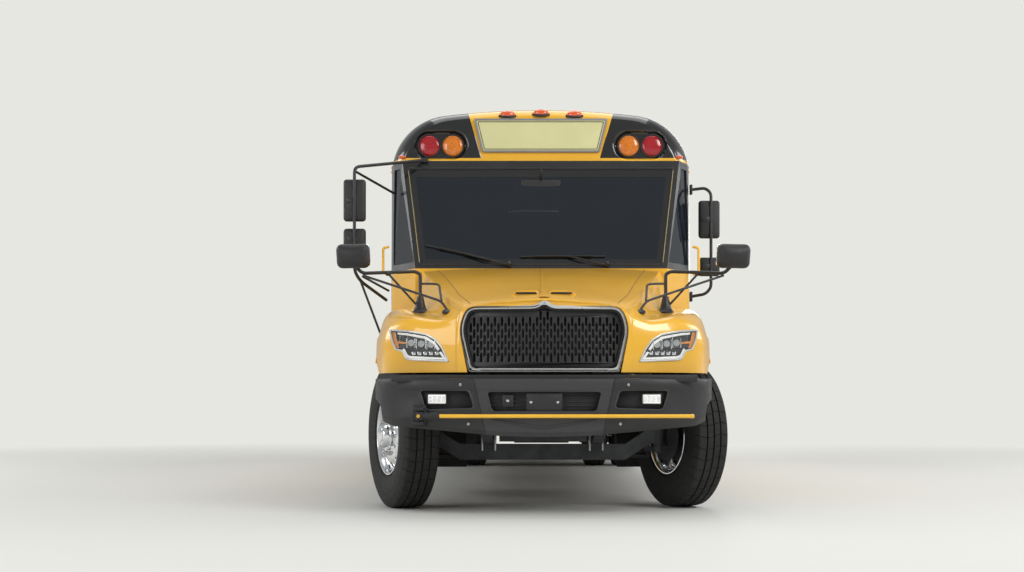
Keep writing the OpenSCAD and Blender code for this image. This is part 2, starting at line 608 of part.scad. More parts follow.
// Mirrors of the body: the driver's on a bracket at the corner, the other on a braced arm ahead of the door
mirror_b = side_start - 150;             // station of the driver's mirrors
arm_b = cowl_b - 110;                    // station and half-width of the other side's arm
arm_x = half_w + 221;
module mirror_case(x, b, z0, z1) block(b, b + 50, x - 88, x + 88, z0, z1);
module side_mirrors() color("#202020") {
    union() {
        bent_bar([[half_w + 1, mirror_b + 30, 2490], [half_w + 131, mirror_b, 2500], [half_w + 163,
            mirror_b - 10, 2470],
            [half_w + 163, mirror_b - 10, 1680], [half_w + 131, mirror_b, 1640], [half_w + 1,
                mirror_b + 30, 1620]], 13);
        mirror_case(half_w + 151, mirror_b, 2097, 2398);
        mirror_case(half_w + 151, mirror_b, 1790, 1935);
    }
    union() {
        bent_bar([[-half_w - 6, cowl_b + 220, 1572], [-half_w - 181, arm_b + 60, 1700], [-arm_x, arm_b, 1760],
            [-arm_x, arm_b, 2560]], 13);
        bar([-arm_x, arm_b, 2560], [-half_w + 294, cowl_b + 298, 2700], 11);
        bar([-arm_x, arm_b, 2540], [-half_w + 39, cowl_b + 365, 2440], 11);
        bar([-half_w - 181, arm_b + 60, 1700], [-half_w - 16, cowl_b + 70, 1230], 9);
        mirror_case(-arm_x - 2, arm_b + 6, 2164, 2480);
        mirror_case(-arm_x - 2, arm_b + 6, 1950, 2100);
    }
}

// ---------- bumpers, lamps and arms ----------

bumper_plan = [[0, 60], [600, 74], [860, 118], [1020, 200], [1110, 310], [1155, 440]]; // half-width, station
plate_holes = 178;                       // distance between a number plate's screws
// Band in plan between the bumper's face and its back
bumper_face = concat([for (i = [len(bumper_plan) - 1 : -1 : 1]) [-bumper_plan[i].x, bumper_plan[i].y]],
    bumper_plan);
bumper_back = [[1100, 440], [1062, 335], [985, 250], [835, 178], [590, 132], [0, 120]];
module front_bumper() color("#303030") difference() {
    union() {
        intersection() {
            upward(500, bumper_top) polygon(concat(bumper_face, bumper_back,
                [for (i = [len(bumper_back) - 2 : -1 : 0]) [-bumper_back[i].x, bumper_back[i].y]]));
            difference() {
                along_y(0, 800) polygon([[-1170, 622], [-430, 548], [0, 532], [430, 548], [1170, 622],
                    [1170, bumper_top], [-1170, bumper_top]]);
                along_y(-10, 810) {
                    for (s = [-1, 1]) polygon([[s * 470, 940], [s * 474, 940], [s * 389, 500], [s * 385,
                        500]]);
                    polygon([[-350, 700], [350, 700], [385, 838], [-385, 838]]);
                    for (s = [-1, 1]) polygon([[s * 462, 722], [s * 790, 712], [s * 832, 846], [s * 500,
                        846]]);
                }
            }
        }
        for (z = [615, 709]) block(22, 120, -862, -802, z, z + 20);
        block(88, 96, -120, 120, 660, 826);
    }
    rod_z(-832, 42, 600, 740, hinge_pin_r + run_fit);
    for (x = [-1, 1]) rod_y(x * plate_holes / 2, 764, 80, 100, 4);
}
module rear_bumper() color("#202020") difference() {
    block(rear_wall_end, overall_len, -(half_w - 19), half_w - 19, 520, 780);
    rod_y(exhaust_x, exhaust_z, rear_wall_end - 1, overall_len + 1, exhaust_hole_r);
}

tail_lamps = [[960, 1330, 89], [960, 1560, 89], [900, 930, 50]]; // half-width, height, radius
rear_warn_x = [700, 900];
module body_lamps() color("firebrick") {
    both_sides() {
        for (x = warn_lamp_x) rod_y(x, warn_lamp_z, cap_b - 2, cap_b + 29, warn_lamp_r);
        for (x = rear_warn_x) rod_y(x, 2740, rear_wall_end, rear_wall_end + 25, warn_lamp_r);
        for (l = tail_lamps) rod_y(l[0], l[1], rear_wall_end, rear_wall_end + 20, l[2]);
        block(100, 150, 640, 790, 745, 820);
    }
    both_sides() block(150, 190, 700, 730, 770, 800);
}

module crossing_arm() color("gold") {
    rod_x(30, 673, -660, 983, 14);
    block(0, 60, -852, -650, 640, 704);
    rod_z(-832, 42, 612, 732, hinge_pin_r);
}

module stop_arm() color("red") {
    translate([half_w + 32, fy(stop_b + 330), stop_z]) rotate([0, 90, 0]) rotate([0, 0,
        22.5]) cylinder(h = 12, r = 245, $fn = 8);
    block(stop_b - 16, stop_b + 130, half_w + 14, half_w + 46, stop_z - 90, stop_z + 90);
    rod_z(half_w + 30, stop_b, stop_z - 113, stop_z + 113, hinge_pin_r);
}

// ---------- inside ----------

seat_depth = 400;
seat_low = 330;                          // heights above the floor: cushion's underside and top, back's top
seat_top = 450;
back_top = 990;
module passenger_seats() color("darkgreen") both_sides() for (i = [0 : rows - 1]) {
    b = window_b(i) + 60;
    x1 = inner_w - 12;
    x0 = x1 - bench_w;
    block(b, b + seat_depth, x0, x1, floor_z + seat_low, floor_z + seat_top);
    block(b + seat_depth + 1, b + seat_depth + 70, x0, x1, floor_z + seat_low, floor_z + back_top);
    block(b + 60, b + seat_depth - 20, x0 + 60, x0 + 90, floor_z, floor_z + seat_low - 1);
}
driver_x = 590;                          // the driver's middle, and the seat's front edge
driver_b = side_start + 380;
module driver_seat() color("#303030") union() {
    block(driver_b, driver_b + 400, driver_x - 230, driver_x + 230, floor_z + 350, floor_z + 460);
    block(driver_b + 330, driver_b + 410, driver_x - 230, driver_x + 230, floor_z + 440, floor_z + 1110);
    block(driver_b + 70, driver_b + 350, driver_x - 100, driver_x + 100, floor_z, floor_z + 360);
}
dash_x = sill_plan[0].x - 100;
module dashboard() color("#303030")
    block(cowl_b + 90, cowl_b + 320, -dash_x, dash_x, floor_z + 330, cowl_top - 10);
wheel_tilt = 35;
module steering_wheel() color("#202020") translate([driver_x, fy(side_start - 10),
    floor_z + 800]) rotate([wheel_tilt, 0, 0]) {
    rotate_extrude($fn = 64) translate([225, 0]) circle(r = 15, $fn = 20);
    translate([0, 0, -60]) cylinder(h = 65, r = 45);
    for (a = [90, 210, 330]) rotate([0, 0, a]) translate([20, -12, -10]) cube([200, 24, 16]);
    translate([0, 0, -330]) cylinder(h = 280, r = 28);
}

module mud_flaps() color("#202020") both_sides() {
    block(cowl_b - 100, cowl_b - 88, 580, 1150, 264, 955);
    block(axle_r + tyre_r + 155, axle_r + tyre_r + 167, rear_inner_x - 10, inner_w - 15, 250, floor_low - 90);
}

chassis_frame();
front_axle();
rear_axle();
leaf_springs();
drive_shaft();
engine();
radiator();
fuel_tank();
exhaust();
knuckle(1);  // knuckle_left
knuckle(-1);  // knuckle_right
tie_rod();
color("#222222") at_front_wheel(1) tyre_shape();  // tyre_front_left
color("silver") at_front_wheel(1) front_rim();  // rim_front_left
color("#222222") at_front_wheel(-1) tyre_shape();  // tyre_front_right
color("silver") at_front_wheel(-1) front_rim();  // rim_front_right
rear_tyres(1);  // tyres_rear_left
color("silver") at_rear_wheels(1) rear_rims();  // rims_rear_left
rear_tyres(-1);  // tyres_rear_right
color("silver") at_rear_wheels(-1) rear_rims();  // rims_rear_right
floor_pan();  // floor
entry_steps();
front_body();
front_cap();
color("gold") side_wall(false);  // side_wall_left
color("gold") mirror([1, 0, 0]) side_wall(true);  // side_wall_right
roof();
rear_wall();
windshield();
body_windows();
entry_leaf(0);  // entry_door_front_leaf
entry_glass(0);  // entry_door_front_glass
entry_leaf(1);  // entry_door_rear_leaf
entry_glass(1);  // entry_door_rear_glass
rear_door();
rear_door_glass();
roof_hatch(hatch_b[0]);  // roof_hatch_front
roof_hatch(hatch_b[1]);  // roof_hatch_rear
hood();
grille();
grille_surround();
headlamps();
fender_mirrors();
side_mirrors();
front_bumper();
rear_bumper();
body_lamps();
crossing_arm();
stop_arm();
passenger_seats();
driver_seat();
dashboard();
steering_wheel();
mud_flaps();
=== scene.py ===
"""Looks of the school bus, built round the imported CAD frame.

Metres, +Z up, -Y forward, +X the driver's side. A "station" is a distance behind the foremost point.
"""
import json
import math

import bmesh
import bpy
from mathutils import Matrix, Vector
from mathutils.bvhtree import BVHTree


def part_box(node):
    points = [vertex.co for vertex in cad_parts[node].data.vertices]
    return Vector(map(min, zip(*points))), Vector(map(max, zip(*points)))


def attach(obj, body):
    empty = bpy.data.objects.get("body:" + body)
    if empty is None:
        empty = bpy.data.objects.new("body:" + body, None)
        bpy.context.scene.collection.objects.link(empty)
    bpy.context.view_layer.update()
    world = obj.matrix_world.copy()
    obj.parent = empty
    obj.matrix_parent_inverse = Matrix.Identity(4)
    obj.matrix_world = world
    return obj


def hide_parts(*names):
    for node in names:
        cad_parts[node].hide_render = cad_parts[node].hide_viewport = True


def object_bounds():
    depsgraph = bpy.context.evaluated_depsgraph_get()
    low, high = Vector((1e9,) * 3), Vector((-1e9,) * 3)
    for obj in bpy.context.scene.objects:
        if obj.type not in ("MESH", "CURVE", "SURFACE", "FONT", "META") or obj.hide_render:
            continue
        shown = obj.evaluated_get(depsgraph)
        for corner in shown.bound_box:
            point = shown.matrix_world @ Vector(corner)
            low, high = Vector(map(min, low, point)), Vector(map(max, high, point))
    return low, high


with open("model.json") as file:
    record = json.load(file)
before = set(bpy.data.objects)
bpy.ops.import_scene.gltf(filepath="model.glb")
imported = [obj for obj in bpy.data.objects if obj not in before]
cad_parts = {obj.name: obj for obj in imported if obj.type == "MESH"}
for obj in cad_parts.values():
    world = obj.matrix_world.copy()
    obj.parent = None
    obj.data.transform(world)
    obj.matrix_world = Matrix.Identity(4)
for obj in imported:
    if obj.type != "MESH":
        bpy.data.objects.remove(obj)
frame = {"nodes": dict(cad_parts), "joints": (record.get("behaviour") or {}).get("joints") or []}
cad_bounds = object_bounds()

FRONT = cad_bounds[0][1]
JOINTS = {joint["name"]: joint for joint in frame["joints"]}
NODES = frame["nodes"]


def node_box(name):
    low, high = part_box(name)
    return Vector(low), Vector(high)


def joint_place(name):
    joint = JOINTS[name]
    return Vector(joint["pos_m"]), Vector(joint["axis"])


# ---------------------------------------------------------------- driving dimensions, taken from the frame

WALL_LOW = node_box("side_wall_left")[0]
HALF_W = node_box("roof")[1].x
ROOF_TOP = node_box("roof")[1].z
SIDE_START = WALL_LOW.y - FRONT
REAR_END = node_box("rear_wall")[1].y - FRONT
SKIRT_Z = WALL_LOW.z
AXLE_F = joint_place("steer_left")[0].y - FRONT
AXLE_R = joint_place("spin_rear_left")[0].y - FRONT
TYRE_R = joint_place("spin_front_left")[0].z
HOOD_HIGH = node_box("hood")[1]


def at(x, b, z):
    """A point at a station."""
    return Vector((x, FRONT + b, z))


# ---------------------------------------------------------------- camera and studio

EYE_HEIGHT = 0.78
EYE_STATION = 0.06 - 9.88
EYE_X = -0.142


def make_camera():
    data = bpy.data.cameras.new("camera")
    data.sensor_width = 36.0
    data.lens = 52.5
    data.shift_x = -0.0107
    data.shift_y = 0.1113
    data.clip_end = 200.0
    camera = bpy.data.objects.new("camera", data)
    camera.location = at(EYE_X, EYE_STATION, EYE_HEIGHT)
    camera.rotation_euler = (math.radians(90), 0, 0)
    bpy.context.collection.objects.link(camera)
    bpy.context.scene.camera = camera


def area_light(name, place, target, size, power, color=(1, 1, 1)):
    data = bpy.data.lights.new(name, "AREA")
    data.shape = "RECTANGLE"
    data.size, data.size_y = size
    data.energy = power
    data.color = color
    lamp = bpy.data.objects.new(name, data)
    lamp.location = place
    lamp.rotation_euler = (Vector(target) - Vector(place)).to_track_quat("-Z", "Y").to_euler()
    bpy.context.collection.objects.link(lamp)


# ---------------------------------------------------------------- materials

MATERIALS = {}
YELLOW = (0.80, 0.425, 0.020)


class Graph:
    """Small helper for building a node material."""

    def __init__(self, name):
        self.material = bpy.data.materials.new(name)
        self.material.use_nodes = True
        self.nodes = self.material.node_tree.nodes
        self.links = self.material.node_tree.links
        self.shader = self.nodes["Principled BSDF"]
        self.coords = self.nodes.new("ShaderNodeTexCoord").outputs["Object"]

    def put(self, name, value):
        if hasattr(value, "is_output"):
            self.links.new(value, self.shader.inputs[name])
        else:
            self.shader.inputs[name].default_value = value

    def noise(self, scale, detail=3.0, stretch=(1, 1, 1)):
        node = self.nodes.new("ShaderNodeTexNoise")
        node.inputs["Scale"].default_value = scale
        node.inputs["Detail"].default_value = detail
        self.links.new(self.stretched(stretch), node.inputs["Vector"])
        return node.outputs["Fac"]

    def stretched(self, stretch):
        node = self.nodes.new("ShaderNodeMapping")
        node.inputs["Scale"].default_value = stretch
        self.links.new(self.coords, node.inputs["Vector"])
        return node.outputs["Vector"]

    def voronoi(self, scale, feature="F1", stretch=(1, 1, 1)):
        node = self.nodes.new("ShaderNodeTexVoronoi")
        node.feature = feature
        node.inputs["Scale"].default_value = scale
        self.links.new(self.stretched(stretch), node.inputs["Vector"])
        return node.outputs["Distance"]

    def wave(self, scale, direction="X", distortion=0.0):
        node = self.nodes.new("ShaderNodeTexWave")
        node.bands_direction = direction
        node.inputs["Scale"].default_value = scale
        node.inputs["Distortion"].default_value = distortion
        self.links.new(self.coords, node.inputs["Vector"])
        return node.outputs["Fac"]

    def height(self):
        node = self.nodes.new("ShaderNodeSeparateXYZ")
        self.links.new(self.coords, node.inputs["Vector"])
        return node.outputs["Z"]

    def spread(self, fac, low, high, to_low=0.0, to_high=1.0):
        node = self.nodes.new("ShaderNodeMapRange")
        for name, value in (("From Min", low), ("From Max", high), ("To Min", to_low), ("To Max", to_high)):
            node.inputs[name].default_value = value
        self.links.new(fac, node.inputs["Value"])
        return node.outputs["Result"]

    def mix(self, fac, color_a, color_b):
        node = self.nodes.new("ShaderNodeMix")
        node.data_type = "RGBA"
        self.links.new(fac, node.inputs["Factor"])
        for socket, color in (("A", color_a), ("B", color_b)):
            target = [s for s in node.inputs if s.name == socket and s.type == "RGBA"][0]
            if hasattr(color, "is_output"):
                self.links.new(color, target)
            else:
                target.default_value = (*color, 1)
        return [s for s in node.outputs if s.type == "RGBA"][0]

    def bump(self, fac, strength, distance, below=None):
        node = self.nodes.new("ShaderNodeBump")
        node.inputs["Strength"].default_value = strength
        node.inputs["Distance"].default_value = distance
        self.links.new(fac, node.inputs["Height"])
        if below is not None:
            self.links.new(below, node.inputs["Normal"])
        self.links.new(node.outputs["Normal"], self.shader.inputs["Normal"])
        return node.outputs["Normal"]


def shade(color, factor):
    return tuple(min(1.0, c * factor) for c in color)


def finish_material(name, color, rough=0.4, metal=0.0, coat=0.0, vary=0.08, patch=2.0, grain=0.0, grain_size=0.002,
                    rough_vary=0.06, stretch=(1, 1, 1)):
    """A surface with uneven colour and gloss, and a fine grain in relief."""
    graph = Graph(name)
    patches = graph.noise(patch, 4.0, stretch)
    graph.put("Base Color", graph.mix(graph.spread(patches, 0.3, 0.7), shade(color, 1 - vary), shade(color, 1 + vary)))
    fine = graph.noise(1.0 / max(grain_size, 0.0005), 3.0, stretch)
    gloss = graph.noise(patch * 6, 5.0, stretch)
    graph.put("Roughness", graph.spread(gloss, 0.3, 0.7, rough - rough_vary, rough + rough_vary))
    graph.put("Metallic", metal)
    if coat:
        graph.put("Coat Weight", coat)
        graph.put("Coat Roughness", 0.04)
    if grain:
        graph.bump(fine, min(1.0, grain), 0.001)
    MATERIALS[name] = graph.material
    return graph


def lens_material(name, color, cell=0.012, glow=0.0, rough=0.12):
    """A moulded lamp lens: coloured plastic with small prisms in relief."""
    graph = Graph(name)
    cells = graph.voronoi(1.0 / cell)
    graph.put("Base Color", graph.mix(graph.spread(cells, 0.1, 0.7), shade(color, 1.1), shade(color, 0.72)))
    graph.put("Roughness", rough)
    graph.put("Coat Weight", 0.8)
    graph.put("Coat Roughness", 0.03)
    if glow:
        graph.put("Emission Color", (*color, 1))
        graph.put("Emission Strength", glow)
    graph.bump(cells, 0.5, 0.001)
    MATERIALS[name] = graph.material


def glass_material(name, tint, alpha, rough=0.03):
    graph = Graph(name)
    smear = graph.noise(1.6, 3.0)
    graph.put("Base Color", graph.mix(graph.spread(smear, 0.3, 0.7), shade(tint, 0.85), shade(tint, 1.15)))
    graph.put("Roughness", rough)
    graph.put("Alpha", alpha)
    graph.put("Coat Weight", 0.6)
    graph.put("Coat Roughness", 0.02)
    MATERIALS[name] = graph.material


def make_materials():
    finish_material("bus_yellow", YELLOW, 0.32, coat=0.7, vary=0.03, patch=0.8, grain=0.05,
                            grain_size=0.004, rough_vary=0.04)
    finish_material("seam_dark", (0.16, 0.08, 0.012), 0.6, vary=0.1)
    finish_material("gloss_black", (0.012, 0.012, 0.013), 0.16, coat=0.6, vary=0.2, patch=1.5, rough_vary=0.03)
    finish_material("satin_black", (0.014, 0.014, 0.015), 0.42, vary=0.15, patch=6, grain=0.15, grain_size=0.0015)
    finish_material("bumper_grey", (0.036, 0.036, 0.038), 0.46, vary=0.08, patch=3, grain=0.22, grain_size=0.0012)
    finish_material("bumper_dark", (0.018, 0.018, 0.019), 0.48, vary=0.1, patch=3, grain=0.3, grain_size=0.0012)
    finish_material("moulded_black", (0.013, 0.013, 0.014), 0.55, vary=0.12, patch=8, grain=0.35, grain_size=0.001)
    finish_material("chassis_black", (0.018, 0.018, 0.019), 0.55, vary=0.3, patch=5, grain=0.3, grain_size=0.004)
    finish_material("rubber", (0.020, 0.020, 0.021), 0.78, vary=0.15, patch=8, grain=0.3, grain_size=0.002)
    finish_material("tyre_tread", (0.014, 0.0135, 0.013), 0.82, vary=0.22, patch=7, grain=0.5, grain_size=0.003)
    finish_material("bright_trim", (0.78, 0.79, 0.80), 0.2, metal=1.0, vary=0.04, patch=3, rough_vary=0.05)
    finish_material("satin_trim", (0.58, 0.585, 0.575), 0.30, metal=0.35, vary=0.04, patch=3, rough_vary=0.05)
    finish_material("wheel_alloy", (0.82, 0.83, 0.85), 0.16, metal=1.0, vary=0.05, patch=5, rough_vary=0.06,
                    grain=0.06, grain_size=0.001)
    finish_material("bolt_steel", (0.55, 0.55, 0.56), 0.32, metal=1.0, vary=0.15, patch=20)
    finish_material("cast_iron", (0.06, 0.062, 0.066), 0.6, metal=0.4, vary=0.25, patch=9, grain=0.5, grain_size=0.004)
    fins = finish_material("radiator_fins", (0.035, 0.035, 0.036), 0.5, metal=0.5, vary=0.2, patch=8)
    fins.bump(fins.wave(60.0, "X"), 0.6, 0.004)
    finish_material("hot_steel", (0.30, 0.25, 0.21), 0.5, metal=0.9, vary=0.35, patch=5, grain=0.3, grain_size=0.003)
    finish_material("brass_trim", (0.45, 0.36, 0.16), 0.35, metal=0.7, vary=0.1, patch=5)
    finish_material("arm_yellow", (0.86, 0.47, 0.03), 0.36, coat=0.4, vary=0.05, patch=5)
    finish_material("reflective_yellow", (0.90, 0.62, 0.05), 0.3, coat=0.5, vary=0.05, patch=60, grain=0.2,
                    grain_size=0.006)
    finish_material("sign_cream", (0.60, 0.59, 0.31), 0.38, coat=0.3, vary=0.03, patch=4, grain=0.1, grain_size=0.004)
    finish_material("sign_red", (0.62, 0.015, 0.02), 0.35, coat=0.4, vary=0.05, patch=5)
    finish_material("white_plastic", (0.80, 0.80, 0.78), 0.3, coat=0.4, vary=0.03, patch=6)
    finish_material("grey_plastic", (0.20, 0.20, 0.205), 0.5, vary=0.08, patch=6, grain=0.2, grain_size=0.001)
    finish_material("seat_vinyl", (0.035, 0.06, 0.085), 0.52, vary=0.14, patch=5, grain=0.6, grain_size=0.0035)
    finish_material("driver_cloth", (0.045, 0.055, 0.075), 0.85, vary=0.2, patch=40, grain=0.9, grain_size=0.0015)
    finish_material("floor_rubber", (0.035, 0.036, 0.038), 0.7, vary=0.15, patch=3, grain=0.4, grain_size=0.004)
    glass_material("tinted_glass", (0.010, 0.014, 0.021), 0.86)
    glass_material("windshield_glass", (0.006, 0.010, 0.016), 0.84)
    glass_material("clear_lens", (0.45, 0.46, 0.47), 0.07, 0.02)
    finish_material("mirror_face", (0.85, 0.87, 0.9), 0.03, metal=1.0, vary=0.02, patch=2, rough_vary=0.01)
    finish_material("lamp_chrome", (0.88, 0.89, 0.9), 0.12, metal=1.0, vary=0.05, patch=30, rough_vary=0.05)
    lens_material("red_lens", (0.40, 0.004, 0.012), 0.011)
    lens_material("amber_lens", (0.74, 0.21, 0.008), 0.011)
    lens_material("marker_lens", (0.80, 0.11, 0.02), 0.010)
    lens_material("amber_strip", (0.80, 0.30, 0.04), 0.006)
    lens_material("white_guide", (0.86, 0.86, 0.83), 0.006, glow=0.3, rough=0.3)
    lens_material("fog_lens", (0.80, 0.82, 0.82), 0.009, glow=0.15)


# ---------------------------------------------------------------- mesh helpers


def add_piece(name, mesh, materials, body, smooth=True, angle=32.0):
    """Links a mesh as a finished piece that rides on a body."""
    piece = bpy.data.objects.new(name, mesh)
    bpy.context.collection.objects.link(piece)
    for material in [materials] if isinstance(materials, str) else materials:
        mesh.materials.append(MATERIALS[material])
    if smooth:
        mesh.shade_smooth()
        mesh.set_sharp_from_angle(angle=math.radians(angle))
    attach(piece, body)
    return piece


def to_mesh(name, bm):
    bmesh.ops.recalc_face_normals(bm, faces=bm.faces)
    mesh = bpy.data.meshes.new(name)
    bm.to_mesh(mesh)
    bm.free()
    return mesh


class Shape:
    """Collects simple solids in one mesh; index is the material of what is added next."""

    def __init__(self):
        self.bm = bmesh.new()
        self.index = 0

    def polygon_solid(self, outline, to_point, low, high, bevel=0.0, segments=2):
        """Extrudes a closed outline; to_point(u, v, w) gives the place of an outline point at depth w."""
        rings = [[self.bm.verts.new(to_point(u, v, w)) for u, v in outline] for w in (low, high)]
        faces = [self.bm.faces.new(rings[0]), self.bm.faces.new(list(reversed(rings[1])))]
        count = len(outline)
        for i in range(count):
            j = (i + 1) % count
            faces.append(self.bm.faces.new((rings[0][j], rings[0][i], rings[1][i], rings[1][j])))
        self.done(faces, bevel, segments)

    def done(self, faces, bevel=0.0, segments=2):
        for face in faces:
            face.material_index = self.index
        if bevel:
            edges = list({edge for face in faces for edge in face.edges})
            made = bmesh.ops.bevel(self.bm, geom=edges, offset=bevel, segments=segments, affect="EDGES",
                                   clamp_overlap=True, profile=0.5)
            for face in made["faces"]:
                face.material_index = self.index

    def block(self, low, high, bevel=0.003, segments=2, turn=None):
        low, high = Vector(low), Vector(high)
        middle, half = (low + high) / 2, (high - low) / 2
        made = bmesh.ops.create_cube(self.bm, size=2.0)
        place = Matrix.Translation(middle) @ (turn or Matrix.Identity(4)) @ Matrix.Diagonal((*half, 1))
        bmesh.ops.transform(self.bm, matrix=place, verts=made["verts"])
        faces = list({face for vert in made["verts"] for face in vert.link_faces})
        self.done(faces, min(bevel, 0.45 * min(half) * 2), segments)

    def lathe(self, profile, centre, axis, steps=48, closed=False):
        """Turns (distance along axis, radius) points round an axis."""
        turn = Vector((0, 0, 1)).rotation_difference(Vector(axis)).to_matrix()
        rings = []
        for along, radius in profile:
            if radius < 1e-6:
                rings.append([self.bm.verts.new(Vector(centre) + turn @ Vector((0, 0, along)))])
                continue
            ring = []
            for i in range(steps):
                angle = 2 * math.pi * i / steps
                ring.append(self.bm.verts.new(Vector(centre) + turn @ Vector(
                    (radius * math.cos(angle), radius * math.sin(angle), along))))
            rings.append(ring)
        pairs = list(zip(rings, rings[1:])) + ([(rings[-1], rings[0])] if closed else [])
        for ring_a, ring_b in pairs:
            for i in range(steps):
                j = (i + 1) % steps
                corners = [ring_a[i % len(ring_a)], ring_a[j % len(ring_a)],
                           ring_b[j % len(ring_b)], ring_b[i % len(ring_b)]]
                unique = list(dict.fromkeys(corners))
                if len(unique) > 2:
                    self.bm.faces.new(unique).material_index = self.index

    def rod(self, start, end, radius, steps=20, bevel=0.0):
        start, end = Vector(start), Vector(end)
        length = (end - start).length
        soft = min(bevel, radius * 0.6, length * 0.4)
        profile = [(0, 0), (0, radius - soft), (soft, radius), (length - soft, radius), (length, radius - soft),
                   (length, 0)] if soft else [(0, 0), (0, radius), (length, radius), (length, 0)]
        self.lathe(profile, start, end - start, steps)

    def tube(self, points, radius, steps=14, fillet=0.05):
        """Sweeps a round tube along points, with rounded bends and closed ends."""
        path = rounded_path([Vector(p) for p in points], fillet)
        side = None
        rings = []
        for i, point in enumerate(path):
            ahead = (path[min(i + 1, len(path) - 1)] - path[max(i - 1, 0)]).normalized()
            if side is None:
                side = ahead.orthogonal().normalized()
            side = (side - ahead * side.dot(ahead)).normalized()
            up = ahead.cross(side)
            rings.append([self.bm.verts.new(point + radius * (
                side * math.cos(2 * math.pi * k / steps) + up * math.sin(2 * math.pi * k / steps)))
                for k in range(steps)])
        for ring_a, ring_b in zip(rings, rings[1:]):
            for k in range(steps):
                j = (k + 1) % steps
                self.bm.faces.new((ring_a[k], ring_a[j], ring_b[j], ring_b[k])).material_index = self.index
        for ring in (rings[0], rings[-1]):
            self.bm.faces.new(ring).material_index = self.index

    def piece(self, name, materials, body, slot, angle=32.0, smooth=True):
        return add_piece(name, to_mesh(name, self.bm), materials, body, smooth, angle)


def rounded_path(points, fillet):
    """Replaces each inner corner of a path with a short curve."""
    path = [points[0]]
    for before, corner, after in zip(points, points[1:], points[2:]):
        back, ahead = before - corner, after - corner
        reach = min(fillet, back.length * 0.45, ahead.length * 0.45)
        start, end = corner + back.normalized() * reach, corner + ahead.normalized() * reach
        for step in range(7):
            t = step / 6
            path.append(start * (1 - t) ** 2 + corner * 2 * t * (1 - t) + end * t * t)
    return path + [points[-1]]


def round_outline(points, radius, steps=5):
    """A closed outline of (u, v) points with its corners rounded; radius may be one value or a list."""
    outline = []
    count = len(points)
    for i, corner in enumerate(points):
        size = radius[i] if isinstance(radius, (list, tuple)) else radius
        corner = Vector(corner)
        back, ahead = Vector(points[i - 1]) - corner, Vector(points[(i + 1) % count]) - corner
        reach = min(size, back.length * 0.45, ahead.length * 0.45)
        if reach < 1e-5:
            outline.append(tuple(corner))
            continue
        start, end = corner + back.normalized() * reach, corner + ahead.normalized() * reach
        for step in range(steps + 1):
            t = step / steps
            outline.append(tuple(start * (1 - t) ** 2 + corner * 2 * t * (1 - t) + end * t * t))
    return outline


def box_outline(u0, u1, v0, v1, grow=0.0, radius=0.0):
    """A rectangle as an outline, made larger on all sides by grow, with rounded corners."""
    u0, u1, v0, v1 = u0 - grow, u1 + grow, v0 - grow, v1 + grow
    return round_outline([(u0, v0), (u1, v0), (u1, v1), (u0, v1)], radius)


def slot_outline(u, v, width, height, steps=5):
    """An upright slot with round ends, as an outline."""
    radius, straight = width / 2, height / 2 - width / 2
    upper = [(u + radius * math.cos(math.pi * i / steps), v + straight + radius * math.sin(math.pi * i / steps))
             for i in range(steps + 1)]
    lower = [(u - radius * math.cos(math.pi * i / steps), v - straight - radius * math.sin(math.pi * i / steps))
             for i in range(steps + 1)]
    return upper + lower


def sheet_mesh(name, outline, holes, depth, to_point, bevel=0.0):
    """A flat sheet with holes, as thick as depth, placed by to_point(u, v, w)."""
    curve = bpy.data.curves.new(name, "CURVE")
    curve.dimensions = "2D"
    curve.fill_mode = "BOTH"
    curve.extrude = depth / 2 - bevel
    curve.bevel_depth = bevel
    curve.bevel_resolution = 1
    curve.offset = -bevel
    for ring in [outline] + list(holes):
        spline = curve.splines.new("POLY")
        spline.points.add(len(ring) - 1)
        spline.use_cyclic_u = True
        for point, (u, v) in zip(spline.points, ring):
            point.co = (u, v, 0, 1)
    holder = bpy.data.objects.new(name, curve)
    bpy.context.collection.objects.link(holder)
    mesh = bpy.data.meshes.new_from_object(holder.evaluated_get(bpy.context.evaluated_depsgraph_get()))
    bpy.data.objects.remove(holder)
    bpy.data.curves.remove(curve)
    bm = bmesh.new()
    bm.from_mesh(mesh)
    bmesh.ops.remove_doubles(bm, verts=bm.verts, dist=1e-5)
    for vert in bm.verts:
        vert.co = to_point(*vert.co)
    bmesh.ops.recalc_face_normals(bm, faces=bm.faces)
    bm.to_mesh(mesh)
    bm.free()
    return mesh


def apply_modifiers(piece):
    """Bakes a piece's modifiers into its mesh."""
    evaluated = piece.evaluated_get(bpy.context.evaluated_depsgraph_get())
    mesh = bpy.data.meshes.new_from_object(evaluated)
    piece.modifiers.clear()
    piece.data = mesh
    return piece


def loose_object(name, mesh):
    piece = bpy.data.objects.new(name, mesh)
    bpy.context.collection.objects.link(piece)
    return piece


def catmull(points, per_span):
    """Points on a smooth curve through the given ones."""
    curve = []
    last = len(points) - 1
    for i in range(last):
        p0, p1, p2, p3 = points[max(i - 1, 0)], points[i], points[i + 1], points[min(i + 2, last)]
        for step in range(per_span):
            t = step / per_span
            curve.append(0.5 * (2 * p1 + (p2 - p0) * t + (2 * p0 - 5 * p1 + 4 * p2 - p3) * t * t
                                + (3 * p1 - p0 - 3 * p2 + p3) * t ** 3))
    return curve + [points[last]]


def grid_faces(bm, rows):
    for row_a, row_b in zip(rows, rows[1:]):
        for i in range(len(row_a) - 1):
            corners = list(dict.fromkeys((row_a[i], row_a[i + 1], row_b[i + 1], row_b[i])))
            if len(corners) > 2:
                bm.faces.new(corners)


def straight_line(points, x):
    """Height of a broken line through (x, value) points."""
    for (x0, v0), (x1, v1) in zip(points, points[1:]):
        if x <= x1:
            return v0 + (v1 - v0) * (x - x0) / (x1 - x0)
    return points[-1][1]


